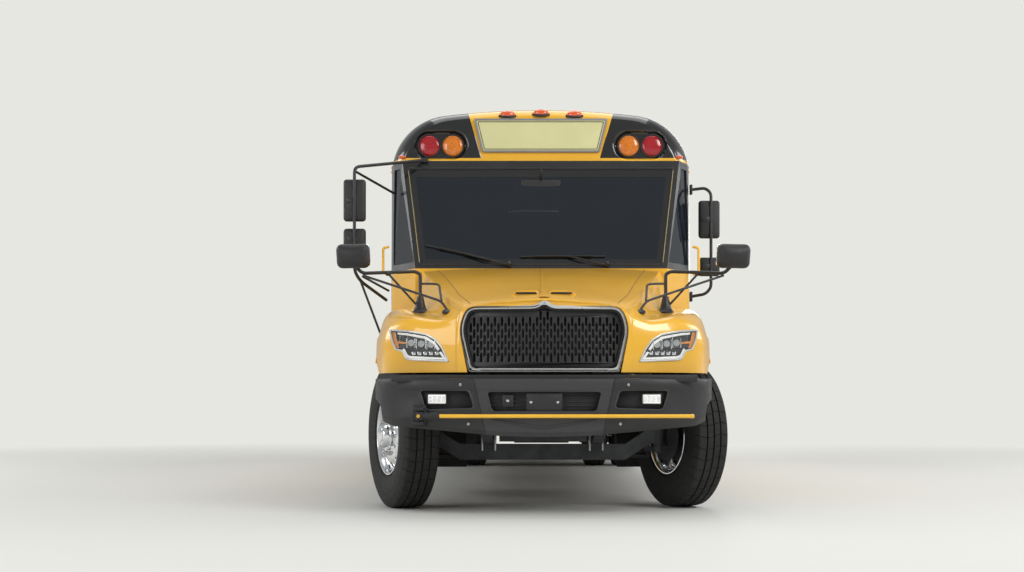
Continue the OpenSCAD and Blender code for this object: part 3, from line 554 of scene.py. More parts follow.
def split_by_plane(bm, place, normal):
    """Adds edges where a plane crosses a mesh."""
    bmesh.ops.bisect_plane(bm, geom=bm.verts[:] + bm.edges[:] + bm.faces[:], dist=1e-6, plane_co=place, plane_no=normal)


def bent_sheet(name, outline, holes, depth, to_point, slices, bevel=0.0):
    """A sheet that is cut into strips and then bent by to_point."""
    mesh = sheet_mesh(name, outline, holes, depth, lambda u, v, w: Vector((u, v, w)), bevel)
    bm = bmesh.new()
    bm.from_mesh(mesh)
    for value in slices:
        split_by_plane(bm, Vector((value, 0, 0)), Vector((1, 0, 0)))
    for vert in bm.verts:
        vert.co = to_point(*vert.co)
    return to_mesh(name, bm)


def join_mirror(mesh):
    """Adds the mirror image of a mesh about the bus's middle plane."""
    bm = bmesh.new()
    bm.from_mesh(mesh)
    made = bmesh.ops.duplicate(bm, geom=bm.verts[:] + bm.edges[:] + bm.faces[:])["geom"]
    for item in made:
        if isinstance(item, bmesh.types.BMVert):
            item.co.x = -item.co.x
    bmesh.ops.reverse_faces(bm, faces=[item for item in made if isinstance(item, bmesh.types.BMFace)])
    bm.to_mesh(mesh)
    bm.free()
    return mesh


def steps_between(low, high, count):
    return [low + (high - low) * i / count for i in range(count + 1)]


def inside(outline, point):
    """Whether a point lies in a closed outline."""
    u, v = point
    odd = False
    for (u0, v0), (u1, v1) in zip(outline, list(outline[1:]) + [outline[0]]):
        if (v0 > v) != (v1 > v) and u < (u1 - u0) * (v - v0) / (v1 - v0) + u0:
            odd = not odd
    return odd


def punch(bm, outline, last_station):
    """Cuts an outline, seen from the front, out of the part of an open surface ahead of a station."""
    margin = 0.03
    for (u0, v0), (u1, v1) in zip(outline, list(outline[1:]) + [outline[0]]):
        faces = []
        for face in bm.faces:
            c = face.calc_center_median()
            if (c.y < FRONT + last_station and min(u0, u1) - margin < c.x < max(u0, u1) + margin
                    and min(v0, v1) - margin < c.z < max(v0, v1) + margin):
                faces.append(face)
        parts = {e for f in faces for e in f.edges} | {v for f in faces for v in f.verts}
        normal = Vector((v1 - v0, 0, u0 - u1)).normalized()
        bmesh.ops.bisect_plane(bm, geom=faces + list(parts), dist=1e-5, plane_co=Vector((u0, 0, v0)), plane_no=normal)
    doomed = []
    for face in bm.faces:
        c = face.calc_center_median()
        if c.y < FRONT + last_station and inside(outline, (c.x, c.z)):
            doomed.append(face)
    bmesh.ops.delete(bm, geom=doomed, context="FACES")


def facing(bm, name, ahead):
    """Makes a mesh whose faces look outward, towards a given direction where they look most that way."""
    bmesh.ops.recalc_face_normals(bm, faces=bm.faces)
    if sum(face.normal.dot(ahead) * face.calc_area() for face in bm.faces) < 0:
        bmesh.ops.reverse_faces(bm, faces=bm.faces)
    mesh = bpy.data.meshes.new(name)
    bm.to_mesh(mesh)
    bm.free()
    return mesh


def thicken(mesh, thickness, offset=-1.0):
    """Gives a surface its thickness, inward by default."""
    target = loose_object("thicken", mesh)
    modifier = target.modifiers.new("thicken", "SOLIDIFY")
    modifier.thickness = thickness
    modifier.offset = offset
    apply_modifiers(target)
    result = target.data
    bpy.data.objects.remove(target)
    return result


# ---------------------------------------------------------------- studio

PAPER = (0.80, 0.80, 0.755)
FLOOR_GREY = (0.64, 0.64, 0.61)


def make_studio():
    bpy.context.scene.view_settings.view_transform = "Standard"
    bm = bmesh.new()
    bmesh.ops.create_grid(bm, x_segments=12, y_segments=12, size=60.0)
    mesh = to_mesh("studio_floor", bm)
    floor = loose_object("studio_floor", mesh)
    graph = Graph("studio_floor")
    length = graph.nodes.new("ShaderNodeVectorMath")
    length.operation = "LENGTH"
    graph.links.new(graph.coords, length.inputs[0])
    away = graph.spread(length.outputs["Value"], 5.0, 12.0)
    graph.put("Base Color", graph.mix(away, FLOOR_GREY, (0.80, 0.80, 0.77)))
    graph.put("Roughness", 0.7)
    graph.put("Specular IOR Level", 0.2)
    far = graph.spread(length.outputs["Value"], 5.0, 12.5)
    paper = graph.nodes.new("ShaderNodeEmission")
    paper.inputs["Color"].default_value = (*PAPER, 1)
    blend = graph.nodes.new("ShaderNodeMixShader")
    graph.links.new(far, blend.inputs["Fac"])
    graph.links.new(graph.shader.outputs[0], blend.inputs[1])
    graph.links.new(paper.outputs[0], blend.inputs[2])
    graph.links.new(blend.outputs[0], graph.nodes["Material Output"].inputs["Surface"])
    mesh.materials.append(graph.material)
    world = bpy.data.worlds.new("studio")
    bpy.context.scene.world = world
    world.use_nodes = True
    nodes, links = world.node_tree.nodes, world.node_tree.links
    path = nodes.new("ShaderNodeLightPath")
    seen = nodes.new("ShaderNodeMath")
    seen.operation = "MAXIMUM"
    links.new(path.outputs["Is Camera Ray"], seen.inputs[0])
    links.new(path.outputs["Is Transmission Ray"], seen.inputs[1])
    glossy = nodes.new("ShaderNodeBackground")
    glossy.inputs["Color"].default_value = (0.80, 0.82, 0.82, 1)
    glossy.inputs["Strength"].default_value = 0.48
    plain = nodes.new("ShaderNodeBackground")
    plain.inputs["Color"].default_value = (*PAPER, 1)
    mix = nodes.new("ShaderNodeMixShader")
    links.new(seen.outputs[0], mix.inputs["Fac"])
    links.new(glossy.outputs[0], mix.inputs[1])
    links.new(plain.outputs[0], mix.inputs[2])
    links.new(mix.outputs[0], nodes["World Output"].inputs["Surface"])
    area_light("key", at(6.5, -5.5, 6.5), at(0, 1.5, 1.6), (4.0, 4.0), 540)
    area_light("front_fill", at(-6.5, -6.0, 3.6), at(0, 1.5, 1.4), (5.0, 4.0), 240)
    area_light("top", at(0, 5.0, 9.5), at(0, 5.0, 2.0), (7.0, 12.0), 460)
    area_light("side_right", at(10.0, 5.0, 5.0), at(0, 7.0, 1.5), (7.0, 4.0), 400)
    area_light("side_left", at(-10.0, 5.0, 5.0), at(0, 7.0, 1.5), (7.0, 4.0), 350)
    area_light("rear", at(2.0, 21.0, 5.0), at(0, 11.0, 1.6), (5.0, 4.0), 430)


# ---------------------------------------------------------------- finish of the CAD nodes that stay

CAD_FINISH = {
    "chassis_black": ["chassis_frame", "drive_shaft", "tie_rod"],
    "cast_iron": ["rear_axle", "engine", "knuckle_left", "knuckle_right", "front_axle", "leaf_springs"],
    "radiator_fins": ["radiator"],
    "hot_steel": ["exhaust"],
    "floor_rubber": ["floor", "entry_steps"],
    "bus_yellow": ["side_wall_left", "side_wall_right", "roof", "rear_wall", "rear_door"],
    "windshield_glass": ["windshield"],
    "tinted_glass": ["body_windows", "entry_door_front_glass", "entry_door_rear_glass", "rear_door_glass"],
    "satin_black": ["entry_door_front_leaf", "entry_door_rear_leaf", "fuel_tank"],
    "moulded_black": ["steering_wheel"],
    "grey_plastic": ["dashboard"],
    "rubber": ["mud_flaps"],
    "sign_red": ["stop_arm"],
    "white_plastic": ["roof_hatch_front", "roof_hatch_rear"],
}


def two_tone_material():
    """Yellow below the windows and behind the corner posts, black round the glass."""
    graph = Graph("front_body_paint")
    split = graph.nodes.new("ShaderNodeSeparateXYZ")
    graph.links.new(graph.coords, split.inputs["Vector"])
    above = graph.spread(split.outputs["Z"], COWL_TOP + 0.003, COWL_TOP + 0.005)
    ahead = graph.spread(split.outputs["Y"], FRONT + SIDE_START - 0.05, FRONT + SIDE_START - 0.048, 1.0, 0.0)
    both = graph.nodes.new("ShaderNodeMath")
    both.operation = "MULTIPLY"
    graph.links.new(above, both.inputs[0])
    graph.links.new(ahead, both.inputs[1])
    patches = graph.noise(0.8, 4.0)
    yellow = graph.mix(patches, shade(YELLOW, 0.97), shade(YELLOW, 1.03))
    graph.put("Base Color", graph.mix(both.outputs[0], yellow, (0.013, 0.013, 0.014)))
    gloss = graph.noise(5.0, 5.0)
    graph.put("Roughness", graph.spread(gloss, 0.3, 0.7, 0.25, 0.36))
    graph.put("Coat Weight", 0.6)
    graph.put("Coat Roughness", 0.04)
    MATERIALS["front_body_paint"] = graph.material


def finish_cad_nodes():
    two_tone_material()
    table = dict(CAD_FINISH)
    table["front_body_paint"] = ["front_body"]
    for material, names in table.items():
        for name in names:
            for held in NODES[name].material_slots:
                held.material = MATERIALS[material]


# ---------------------------------------------------------------- hood

COWL_TOP = 1.80
HOOD_END = HOOD_HIGH.y - FRONT
ARCH_R = TYRE_R + 0.08

# Knots of half the hood: across from its middle to its side, as (half-width, station, height)
HOOD_ROWS = [
    [(0, HOOD_END, 1.803), (.81, HOOD_END, 1.792), (.935, HOOD_END, 1.755), (.985, HOOD_END, 1.53),
     (1.08, HOOD_END, 1.475), (1.15, HOOD_END, 1.425), (1.183, HOOD_END, 1.27)],
    [(0, 1.15, 1.69), (.70, 1.15, 1.665), (.83, 1.15, 1.625), (.92, 1.15, 1.455), (1.05, 1.15, 1.45),
     (1.14, 1.15, 1.40), (1.183, 1.15, 1.25)],
    [(0, .55, 1.555), (.585, .55, 1.51), (.69, .55, 1.46), (.80, .58, 1.375), (.98, .64, 1.395),
     (1.115, .76, 1.355), (1.182, .95, 1.235)],
    [(0, .17, 1.455), (.495, .20, 1.418), (.585, .235, 1.365), (.70, .285, 1.325), (.90, .375, 1.345),
     (1.065, .52, 1.31), (1.179, .80, 1.21)],
    [(0, .145, 1.42), (.50, .165, 1.375), (.60, .195, 1.30), (.73, .235, 1.275), (.925, .325, 1.285),
     (1.085, .475, 1.25), (1.180, .775, 1.17)],
    [(0, .140, 1.15), (.51, .160, 1.15), (.61, .185, 1.15), (.745, .225, 1.15), (.94, .315, 1.15),
     (1.095, .455, 1.15), (1.181, .765, 1.10)],
    [(0, .145, .965), (.51, .165, .965), (.605, .19, .965), (.74, .235, .965), (.935, .33, .965),
     (1.09, .475, .965), (1.180, .77, .965)],
]
FRONT_WALL = [(x, b) for x, b, z in HOOD_ROWS[5]]
GRILLE_OUTLINE = [(.508, .968), (.578, 1.262), (.524, 1.413), (.060, 1.413), (0, 1.455)]
LAMP_OUTLINE = [(1.060, 1.265), (.932, 1.254), (.793, 1.228), (.724, 1.188), (.679, 1.130), (.636, 1.034),
                (.911, 1.048), (.942, 1.058), (.967, 1.110), (1.016, 1.120), (1.045, 1.183)]


def wall_station(x):
    """Station of the hood's front wall at a half-width, as a smooth curve."""
    curve = catmull([Vector((px, pb)) for px, pb in FRONT_WALL], 10)
    return straight_line([(p.x, p.y) for p in curve], abs(x))


def arch_height(b):
    """Height of the wheel arch over a station, or zero beside it."""
    reach = abs(b - AXLE_F)
    return TYRE_R + math.sqrt(ARCH_R ** 2 - reach ** 2) if reach < ARCH_R else 0.0


def fender_bottom(b):
    """Lower edge of the fender's side, with the wheel arch."""
    return max(0.965 - 0.325 * min(1.0, max(0.0, (b - 1.38) / 0.16)), arch_height(b))


HOOD_SPANS = (34, 14, 14, 8, 10, 8)
GRILLE_ROUND = [.02, .10, .085, .03, .02, .03, .085, .10, .02]


def hood_grid():
    """Points of the hood's upper and front surface, from its rear edge to the foot of its front wall."""
    across = []
    for row in HOOD_ROWS:
        half = [Vector(knot) for knot in row]
        whole = [Vector((-p.x, p.y, p.z)) for p in reversed(half[1:])] + half
        across.append(catmull(whole, 9))
    rows = []
    for i, span in enumerate(HOOD_SPANS):
        for step in range(span + (1 if i == len(HOOD_SPANS) - 1 else 0)):
            t = step / span
            row = []
            for column in range(len(across[0])):
                p0, p1, p2, p3 = (across[min(max(i + k, 0), len(across) - 1)][column] for k in (-1, 0, 1, 2))
                point = 0.5 * (2 * p1 + (p2 - p0) * t + (2 * p0 - 5 * p1 + 4 * p2 - p3) * t * t
                               + (3 * p1 - p0 - 3 * p2 + p3) * t ** 3)
                if abs(point.x) > 0.95:
                    point.z = max(point.z, arch_height(point.y))
                row.append(point)
            rows.append(row)
    return rows


def build_hood():
    bm = bmesh.new()
    rows = hood_grid()
    made = [[bm.verts.new(at(*p)) for p in row] for row in rows]
    grid_faces(bm, made)
    for side in (0, -1):
        lines = []
        for k, row in enumerate(rows):
            top = row[side]
            low = min(fender_bottom(top.y), top.z - .004)
            line = [made[k][side]]
            for step in range(1, 7):
                line.append(bm.verts.new(at(top.x, top.y, top.z + (low - top.z) * step / 6)))
            lines.append(line)
        grid_faces(bm, lines)
    sharp = [(.506, 0.90)] + GRILLE_OUTLINE[1:] + [(-x, z) for x, z in reversed(GRILLE_OUTLINE[1:-1])] + [(-.506, .90)]
    punch(bm, inset_outline(round_outline(sharp, [0] + GRILLE_ROUND[1:-1] + [0], 4), .004), .30)
    for side in (-1, 1):
        punch(bm, [(side * x, z) for x, z in LAMP_OUTLINE], .70)
    mesh = facing(bm, "hood_skin", Vector((0, 0, 1)))
    hood = add_piece("hood_skin", thicken(mesh, 0.006), "bus_yellow", "hood", angle=38)
    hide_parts("hood")
    return hood


def surface_finder(piece):
    """A function that gives the height of a piece's upper surface at a half-width and station."""
    tree = BVHTree.FromPolygons([v.co.copy() for v in piece.data.vertices],
                                [tuple(p.vertices) for p in piece.data.polygons])

    def height(x, b, start=3.0):
        hit = tree.ray_cast(at(x, b, start), Vector((0, 0, -1)))
        return hit[0].z if hit[0] is not None else None
    return height


def laid_strip(bm, height, path, lift, index=0):
    """A strip on a surface; path holds (x, station, half-width of the strip)."""
    rows = []
    for i, (x, b, half) in enumerate(path):
        before, after = path[max(i - 1, 0)], path[min(i + 1, len(path) - 1)]
        ahead = Vector((after[0] - before[0], after[1] - before[1])).normalized()
        row = []
        for side, rise in ((-1, -0.004), (-0.8, lift), (0, lift * 1.15), (0.8, lift), (1, -0.004)):
            px, pb = x - ahead.y * half * side, b + ahead.x * half * side
            z = height(px, pb)
            if z is None:
                z = height(x, b) or 1.4
            row.append(bm.verts.new(at(px, pb, z + rise)))
        rows.append(row)
    start = len(bm.faces)
    grid_faces(bm, rows)
    bm.faces.ensure_lookup_table()
    for face in bm.faces[start:]:
        face.material_index = index


def lerp_path(points, count):
    """Points along a broken line of (x, station, half-width), evenly in each stretch."""
    path = []
    for a, b in zip(points, points[1:]):
        for step in range(count):
            path.append(tuple(a[i] + (b[i] - a[i]) * step / count for i in range(3)))
    return path + [points[-1]]


def build_hood_details(height):
    spine = Shape()
    laid_strip(spine.bm, height, lerp_path([(0, 1.70, .006), (0, .9, .012), (0, .45, .022), (0, .205, .036)], 14), .007)
    spine.piece("hood_spine", "bus_yellow", "hood", "bus_yellow", angle=50)
    seams = Shape()
    for side in (-1, 1):
        laid_strip(seams.bm, height, lerp_path([(side * .805, 1.78, .0028), (side * .70, 1.15, .0028),
                                                (side * .585, .55, .0028), (side * .497, .23, .0028)], 14), .0012)
    seams.piece("hood_seams", "seam_dark", "hood", "bus_yellow")
    vents = Shape()
    for side in (-1, 1):
        rows = []
        for x in steps_between(.033, .224, 16):
            edge = min(1.0, (x - .033) / .02, (.224 - x) / .03)
            line = []
            for b, rise in ((.455, -.003), (.42, .010), (.372, .024), (.345, .027), (.342, .012), (.345, -.004)):
                line.append(vents.bm.verts.new(at(side * x, b, height(side * x, b) + rise * max(0.0, edge) - .001)))
            rows.append(line)
        grid_faces(vents.bm, rows)
    # The black bars across the vents' mouths are painted shade, standing in for the dark openings.
    vents.index = 1
    for side in (-1, 1):
        z = height(side * .12, .34) + .008
        low, high = at(side * .12, .335, z), Vector((.072, .004, .0065))
        vents.block(low - high, low + high, .003)
    vents.piece("hood_vents", ["bus_yellow", "satin_black"], "hood", "bus_yellow", angle=50)
    lips = Shape()
    for side in (-1, 1):
        arc = [at(side * 1.181, AXLE_F + (ARCH_R + .006) * math.cos(math.radians(a)),
                  TYRE_R + (ARCH_R + .006) * math.sin(math.radians(a))) for a in range(11, 119, 4)]
        lips.tube(arc, .009, 10, .001)
    lips.piece("fender_arch_lips", "bus_yellow", "hood", "bus_yellow")
    latches = Shape()
    for side in (-1, 1):
        x, b = side * 1.186, 1.62
        latches.block(at(x - .006, b - .02, 1.05), at(x + .006, b + .02, 1.17), .005)
    latches.piece("hood_latches", "moulded_black", "hood", "black_plastic")


# ---------------------------------------------------------------- grille

GRILLE_FACE = 0.128
SURROUND_W = 0.025


def inset_outline(points, distance):
    """Moves each side of a closed outline inward; the outline runs anticlockwise."""
    moved = []
    count = len(points)
    for i in range(count):
        before, here, after = (Vector(points[(i + k) % count]) for k in (-1, 0, 1))
        e0, e1 = (here - before).normalized(), (after - here).normalized()
        n0, n1 = Vector((-e0.y, e0.x)), Vector((-e1.y, e1.x))
        turn = (n0 + n1).normalized()
        moved.append(tuple(here + turn * distance / max(0.3, turn.dot(n0))))
    return moved


def whole_outline(half):
    """A closed outline from its right half, anticlockwise from the bottom."""
    return list(half) + [(-x, z) for x, z in reversed(half) if x > 1e-6]


def build_grille():
    outer = round_outline(whole_outline(GRILLE_OUTLINE), GRILLE_ROUND)
    inner = inset_outline(outer, SURROUND_W)
    surround = sheet_mesh("surround", outer, [inner], .066,
                          lambda u, v, w: at(u, GRILLE_FACE + .036 + w + .25 * (u * u), v), .009)
    piece = add_piece("grille_surround_trim", surround, "satin_trim", "hood", angle=40)
    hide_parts("grille_surround")
    opening = inset_outline(outer, SURROUND_W - .002)
    frame_in = inset_outline(outer, SURROUND_W + .014)
    border = sheet_mesh("border", opening, [frame_in], .03,
                        lambda u, v, w: at(u, GRILLE_FACE + .045 + w + .25 * (u * u), v), .003)
    add_piece("grille_border", border, "moulded_black", "hood")
    holes = []
    clear = inset_outline(outer, SURROUND_W + .020)
    for column in range(-23, 24):
        for row in range(6):
            u = column * .0235
            v = .985 + row * .080 + (.040 if column % 2 else 0)
            ring = slot_outline(u, v, .0150, .063, 4)
            if all(inside(clear, p) for p in ring):
                holes.append(ring)
    mesh = sheet_mesh("grille_mesh", opening, holes, .012,
                      lambda u, v, w: at(u, GRILLE_FACE + .058 + w + .25 * (u * u), v), .0022)
    piece = add_piece("grille_mesh", mesh, "satin_black", "hood", angle=40)
    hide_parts("grille")
    # A solid black sheet behind the grille: painted shade, standing in for the dark space seen through the grille's
    # slots.
    shade_sheet = Shape()
    shade_sheet.block(at(-.53, .300, .972), at(.53, .306, 1.395), .002)
    shade_sheet.piece("grille_shade_sheet", "moulded_black", "hood", "black_plastic")


# ---------------------------------------------------------------- headlamps

LAMP_RIM = 0.012


def lamp_point(side, push):
    """Places an outline point on the front wall, pushed back by a distance."""
    return lambda u, v, w: at(side * u, wall_station(u) + push + w, v)


def build_headlamps():
    slices = steps_between(.62, 1.08, 26)
    outline = LAMP_OUTLINE[::-1]
    outer = round_outline(outline, .014)
    inner = round_outline(inset_outline(outline, -LAMP_RIM), .010)      # this outline runs clockwise
    housing = bent_sheet("lamp_housing", outer, [], .004, lamp_point(1, .052), slices)
    rim = bent_sheet("lamp_rim", outer, [inner], .056, lamp_point(1, .024), slices, .002)
    lens = bent_sheet("lamp_lens", inner, [], .003, lamp_point(1, -.001), slices)
    for name, mesh, material in (("headlamp_housings", housing, "moulded_black"),
                                 ("headlamp_rims", rim, "satin_trim"), ("headlamp_lenses", lens, "clear_lens")):
        add_piece(name, join_mirror(mesh), material, "hood")
    guide_high = [(.702, 1.122), (.732, 1.168), (.795, 1.208), (.932, 1.234), (1.000, 1.240), (.995, 1.226),
                  (.930, 1.219), (.803, 1.192), (.745, 1.156), (.716, 1.112)]
    guide_low = [(.655, 1.050), (.690, 1.105), (.708, 1.100), (.682, 1.064), (.900, 1.077), (.925, 1.085),
                 (.948, 1.130), (.962, 1.127), (.937, 1.072), (.908, 1.061)]
    amber = [(1.012, 1.243), (1.046, 1.246), (1.033, 1.186), (1.008, 1.135), (.985, 1.132), (.992, 1.165),
             (.930, 1.160), (.926, 1.172), (1.000, 1.182)]
    white = Shape()
    for ring in (guide_high, guide_low):
        mesh = bent_sheet("guide", round_outline(ring, .004), [], .010, lamp_point(1, .016), slices, .001)
        white.bm.from_mesh(mesh)
    add_piece("headlamp_guides", join_mirror(to_mesh("guides", white.bm)), "white_guide", "hood")
    mesh = bent_sheet("amber", round_outline(amber, .004), [], .012, lamp_point(1, .016), slices, .001)
    add_piece("headlamp_indicators", join_mirror(mesh), "amber_strip", "hood")
    chrome = Shape()
    chrome.index = 1
    for x0, x1 in ((.742, .796), (.804, .862), (.870, .928), (.936, .985)):
        mid = (x0 + x1) / 2
        top = 1.196 + (mid - .74) * .12
        chrome.block(at(x0, wall_station(mid) + .030, 1.132), at(x1, wall_station(mid) + .046, top), .004)
    chrome.index = 0
    for x0, x1 in ((.735, .790), (.800, .862), (.872, .930)):
        low_z = 1.120 + .02 * (x0 - .735) / .2
        for u in (x0, x1):
            base = wall_station(u)
            chrome.block(at(u - .0025, base + .010, low_z), at(u + .0025, base + .045, low_z + .066), .001)
        base = wall_station((x0 + x1) / 2)
        chrome.lathe([(0, 0), (.004, .014), (.010, .020), (.016, .0225), (.018, .0225), (.018, 0)],
                     at((x0 + x1) / 2, base + .040, low_z + .034), (0, -1, 0), 28)
    for i in range(5):
        u = .722 + i * .040
        base = wall_station(u)
        chrome.block(at(u - .013, base + .018, 1.084), at(u + .013, base + .040, 1.106), .003)
    mesh = join_mirror(to_mesh("chrome", chrome.bm))
    add_piece("headlamp_modules", mesh, ["lamp_chrome", "gloss_black"], "hood")
    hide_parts("headlamps")


# ---------------------------------------------------------------- front cap, sign and lamps

HEADER_Z = node_box("front_body")[1].z
CAP_B = node_box("front_cap")[0].y - FRONT
CORNER_R = 0.48
CROWN_R = 6.5
CORNER_X = HALF_W - CORNER_R
CROWN_Z = ROOF_TOP - CROWN_R
CORNER_Z = CROWN_Z + math.sqrt((CROWN_R - CORNER_R) ** 2 - CORNER_X ** 2)
CORNER_TURN = math.atan2(CORNER_Z - CROWN_Z, CORNER_X)
WARN_X = (0.705, 0.892)
WARN_Z = 2.817
POD_X = (0.476, 0.572)      # inner edge of the black lamp panels, at their foot and at the top
POD_Z = (2.714, 3.05)
POD_DEPTH = 0.27


def roof_section(low_z, corner_steps=14, crown_steps=44):
    """Right-to-left outline of the body's upper part, above a height, as (x, z)."""
    start = math.asin((low_z - CORNER_Z) / CORNER_R) if low_z > CORNER_Z else 0.0
    points = []
    for i in range(corner_steps + 1):
        a = start + (CORNER_TURN - start) * i / corner_steps
        points.append((CORNER_X + CORNER_R * math.cos(a), CORNER_Z + CORNER_R * math.sin(a)))
    for i in range(1, crown_steps):
        a = CORNER_TURN + (math.pi - 2 * CORNER_TURN) * i / crown_steps
        points.append((CROWN_R * math.cos(a), CROWN_Z + CROWN_R * math.sin(a)))
    return points + [(-x, z) for x, z in reversed(points[:corner_steps + 1])]


# Slices of the cap, from the header up its face and over its rounded edge: (station, narrowing, rise)
CAP_ROWS = [(0, .895, 0.0), (.002, .895, .30), (.008, .895, .62), (.022, .900, .80), (.060, .935, .895),
            (.130, .968, .948), (.220, .990, .982), (.329, 1.0, 1.0)]


def pod_dent(x, z):
    """Depth of the oval pocket round a pair of warning lamps."""
    middle = (WARN_X[0] + WARN_X[1]) / 2
    across = max(0.0, abs(abs(x) - middle) - (WARN_X[1] - WARN_X[0]) / 2)
    reach = math.hypot(across, z - WARN_Z)
    t = min(1.0, max(0.0, (0.122 - reach) / 0.020))
    return 0.030 * t * t * (3 - 2 * t)


def build_cap():
    bm = bmesh.new()
    section = roof_section(HEADER_Z, 22, 150)
    rows = []
    path = catmull([Vector(row) for row in CAP_ROWS], 7)
    face = [Vector(row) for row in CAP_ROWS[:4]]
    fine = catmull(face, 14)
    path = fine[:-1] + path[21:]
    for ahead, kx, kz in path:
        row = []
        for x, z in section:
            px, pz = x * kx, HEADER_Z + (z - HEADER_Z) * kz
            row.append(bm.verts.new(at(px, CAP_B + ahead + pod_dent(px, pz) * (1 if ahead < .09 else 0), pz)))
        rows.append(row)
    grid_faces(bm, rows)
    for side in (-1, 1):
        low, high = Vector((side * POD_X[0], 0, POD_Z[0])), Vector((side * POD_X[1], 0, POD_Z[1]))
        split_by_plane(bm, low, (high - low).cross(Vector((0, 1, 0))).normalized())
    split_by_plane(bm, at(0, CAP_B + POD_DEPTH, 0), Vector((0, 1, 0)))
    split_by_plane(bm, Vector((0, 0, POD_Z[0])), Vector((0, 0, 1)))
    for face in bm.faces:
        middle = face.calc_center_median()
        edge = POD_X[0] + (middle.z - POD_Z[0]) * (POD_X[1] - POD_X[0]) / (POD_Z[1] - POD_Z[0])
        black = abs(middle.x) > edge and middle.y < FRONT + CAP_B + POD_DEPTH and middle.z > POD_Z[0]
        face.material_index = 1 if black else 0
    mesh = thicken(facing(bm, "cap", Vector((0, -1, 1))), 0.005)
    cap = add_piece("front_cap_shell", mesh, ["bus_yellow", "gloss_black"], "chassis", angle=50)
    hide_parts("front_cap")
    ridge = Shape()
    for side in (-1, 1):
        points = [at(side * (POD_X[0] + (POD_X[1] - POD_X[0]) * t), CAP_B + .004 + .03 * t ** 3,
                     POD_Z[0] + (POD_Z[1] - POD_Z[0]) * t) for t in steps_between(0, .93, 14)]
        ridge.tube(points, .005, 8, .001)
    ridge.piece("front_cap_pod_edges", "gloss_black", "chassis", "black_plastic")


def build_sign():
    outer = [(-.470, 2.757), (.470, 2.757), (.536, 3.028), (-.536, 3.028)]
    inner = inset_outline(outer, .017)
    face = CAP_B - .012

    def place(u, v, w):
        return at(u, face + w + .05 * max(0.0, v - 2.9) ** 1.5, v)
    shade_frame = sheet_mesh("sign_frame", round_outline(outer, .02), [round_outline(inner, .012)], .018, place, .004)
    add_piece("sign_frame", shade_frame, "grey_plastic", "chassis")
    border = sheet_mesh("sign_border", round_outline(inset_outline(outer, .024), .012),
                        [round_outline(inset_outline(outer, .029), .010)], .004,
                        lambda u, v, w: place(u, v, w - .006), .0005)
    add_piece("sign_border", border, "satin_black", "chassis")
    panel = bent_sheet("sign_panel", round_outline(inset_outline(outer, .016), .012), [], .010,
                       lambda u, v, w: place(u, v, w), steps_between(-.5, .5, 4), .001)
    add_piece("sign_panel", panel, "sign_cream", "chassis")


def add_warning_lamp(shape, x, face, z, toward, radius):
    """Round lamp: base ring, raised edge and domed lens; toward is -1 at the front and 1 at the back."""
    axis = (0, toward, 0)
    shape.index = 0
    shape.lathe([(0, 0), (0, radius + .012), (.010, radius + .012), (.016, radius + .006), (.016, radius - .002),
                 (.006, radius - .004), (.006, 0)], at(x, face, z), axis, 56)
    shape.index = 1
    profile = [(.006, radius - .003)]
    for degrees in range(80, 0, -10):
        a = math.radians(degrees)
        profile.append((.008 + .020 * math.cos(a), (radius - .004) * math.sin(a)))
    profile.append((.028, 0))
    shape.lathe(profile, at(x, face, z), axis, 56)
    for k in range(1, 6):
        r = radius * k / 6.2
        shape.lathe([(.0265 - .009 * (r / radius) ** 2, r - .0012), (.0285 - .009 * (r / radius) ** 2, r),
                     (.0265 - .009 * (r / radius) ** 2, r + .0012)], at(x, face, z), axis, 56)


def build_warning_lamps():
    amber, red = Shape(), Shape()
    for side in (-1, 1):
        add_warning_lamp(amber, side * WARN_X[0], CAP_B + .036, WARN_Z, -1, .086)
        add_warning_lamp(red, side * WARN_X[1], CAP_B + .036, WARN_Z, -1, .086)
        add_warning_lamp(amber, side * .700, REAR_END + .001, 2.740, 1, .086)
        add_warning_lamp(red, side * .900, REAR_END + .001, 2.740, 1, .086)
        add_warning_lamp(red, side * .960, REAR_END + .001, 1.560, 1, .084)
        add_warning_lamp(amber, side * .960, REAR_END + .001, 1.330, 1, .084)
        add_warning_lamp(red, side * .900, REAR_END + .001, .930, 1, .046)
    first = amber.piece("warning_lamps_amber", ["satin_black", "amber_lens"], "chassis", "lamp_lens")
    red.piece("warning_lamps_red", ["satin_black", "red_lens"], "chassis", "red_lens")
    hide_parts("body_lamps")


def build_marker_lamps():
    """Three oval lamps on the cap's brow and a small one at each corner."""
    shape = Shape()
    for x, z in ((-.266, 3.056), (.002, 3.068), (.270, 3.056)):
        for index, half, rise in ((0, (.073, .034, .018), 0), (1, (.064, .028, .030), .006)):
            shape.index = index
            rows = []
            for ring in range(8):
                a = math.radians(90 * ring / 7)
                line = []
                for i in range(32):
                    t = 2 * math.pi * i / 32
                    line.append(shape.bm.verts.new(at(x + half[0] * math.cos(a) * math.cos(t),
                                                      CAP_B + .030 + half[1] * math.cos(a) * math.sin(t)
                                                      - half[2] * math.sin(a) * .8,
                                                      z + half[1] * math.cos(a) * math.sin(t) * .7 + rise
                                                      + half[2] * math.sin(a))))
                rows.append(line + line[:1])
            for row_a, row_b in zip(rows, rows[1:]):
                for i in range(32):
                    shape.bm.faces.new((row_a[i], row_a[i + 1], row_b[i + 1], row_b[i])).material_index = index
    for side in (-1, 1):
        shape.index = 1
        shape.block(at(side * 1.110 - .030, CAP_B + .010, 2.712), at(side * 1.110 + .030, CAP_B + .040, 2.736), .008)
    shape.piece("clearance_lamps", ["moulded_black", "marker_lens"], "chassis", "red_lens", angle=50)


# ---------------------------------------------------------------- front bumper

BUMPER_PLAN = [(0, .060), (.30, .064), (.60, .078), (.80, .108), (.93, .152), (1.03, .215), (1.11, .310), (1.155, .440)]
BUMPER_TOP = node_box("front_bumper")[1].z
BUMPER_LOW = 0.534


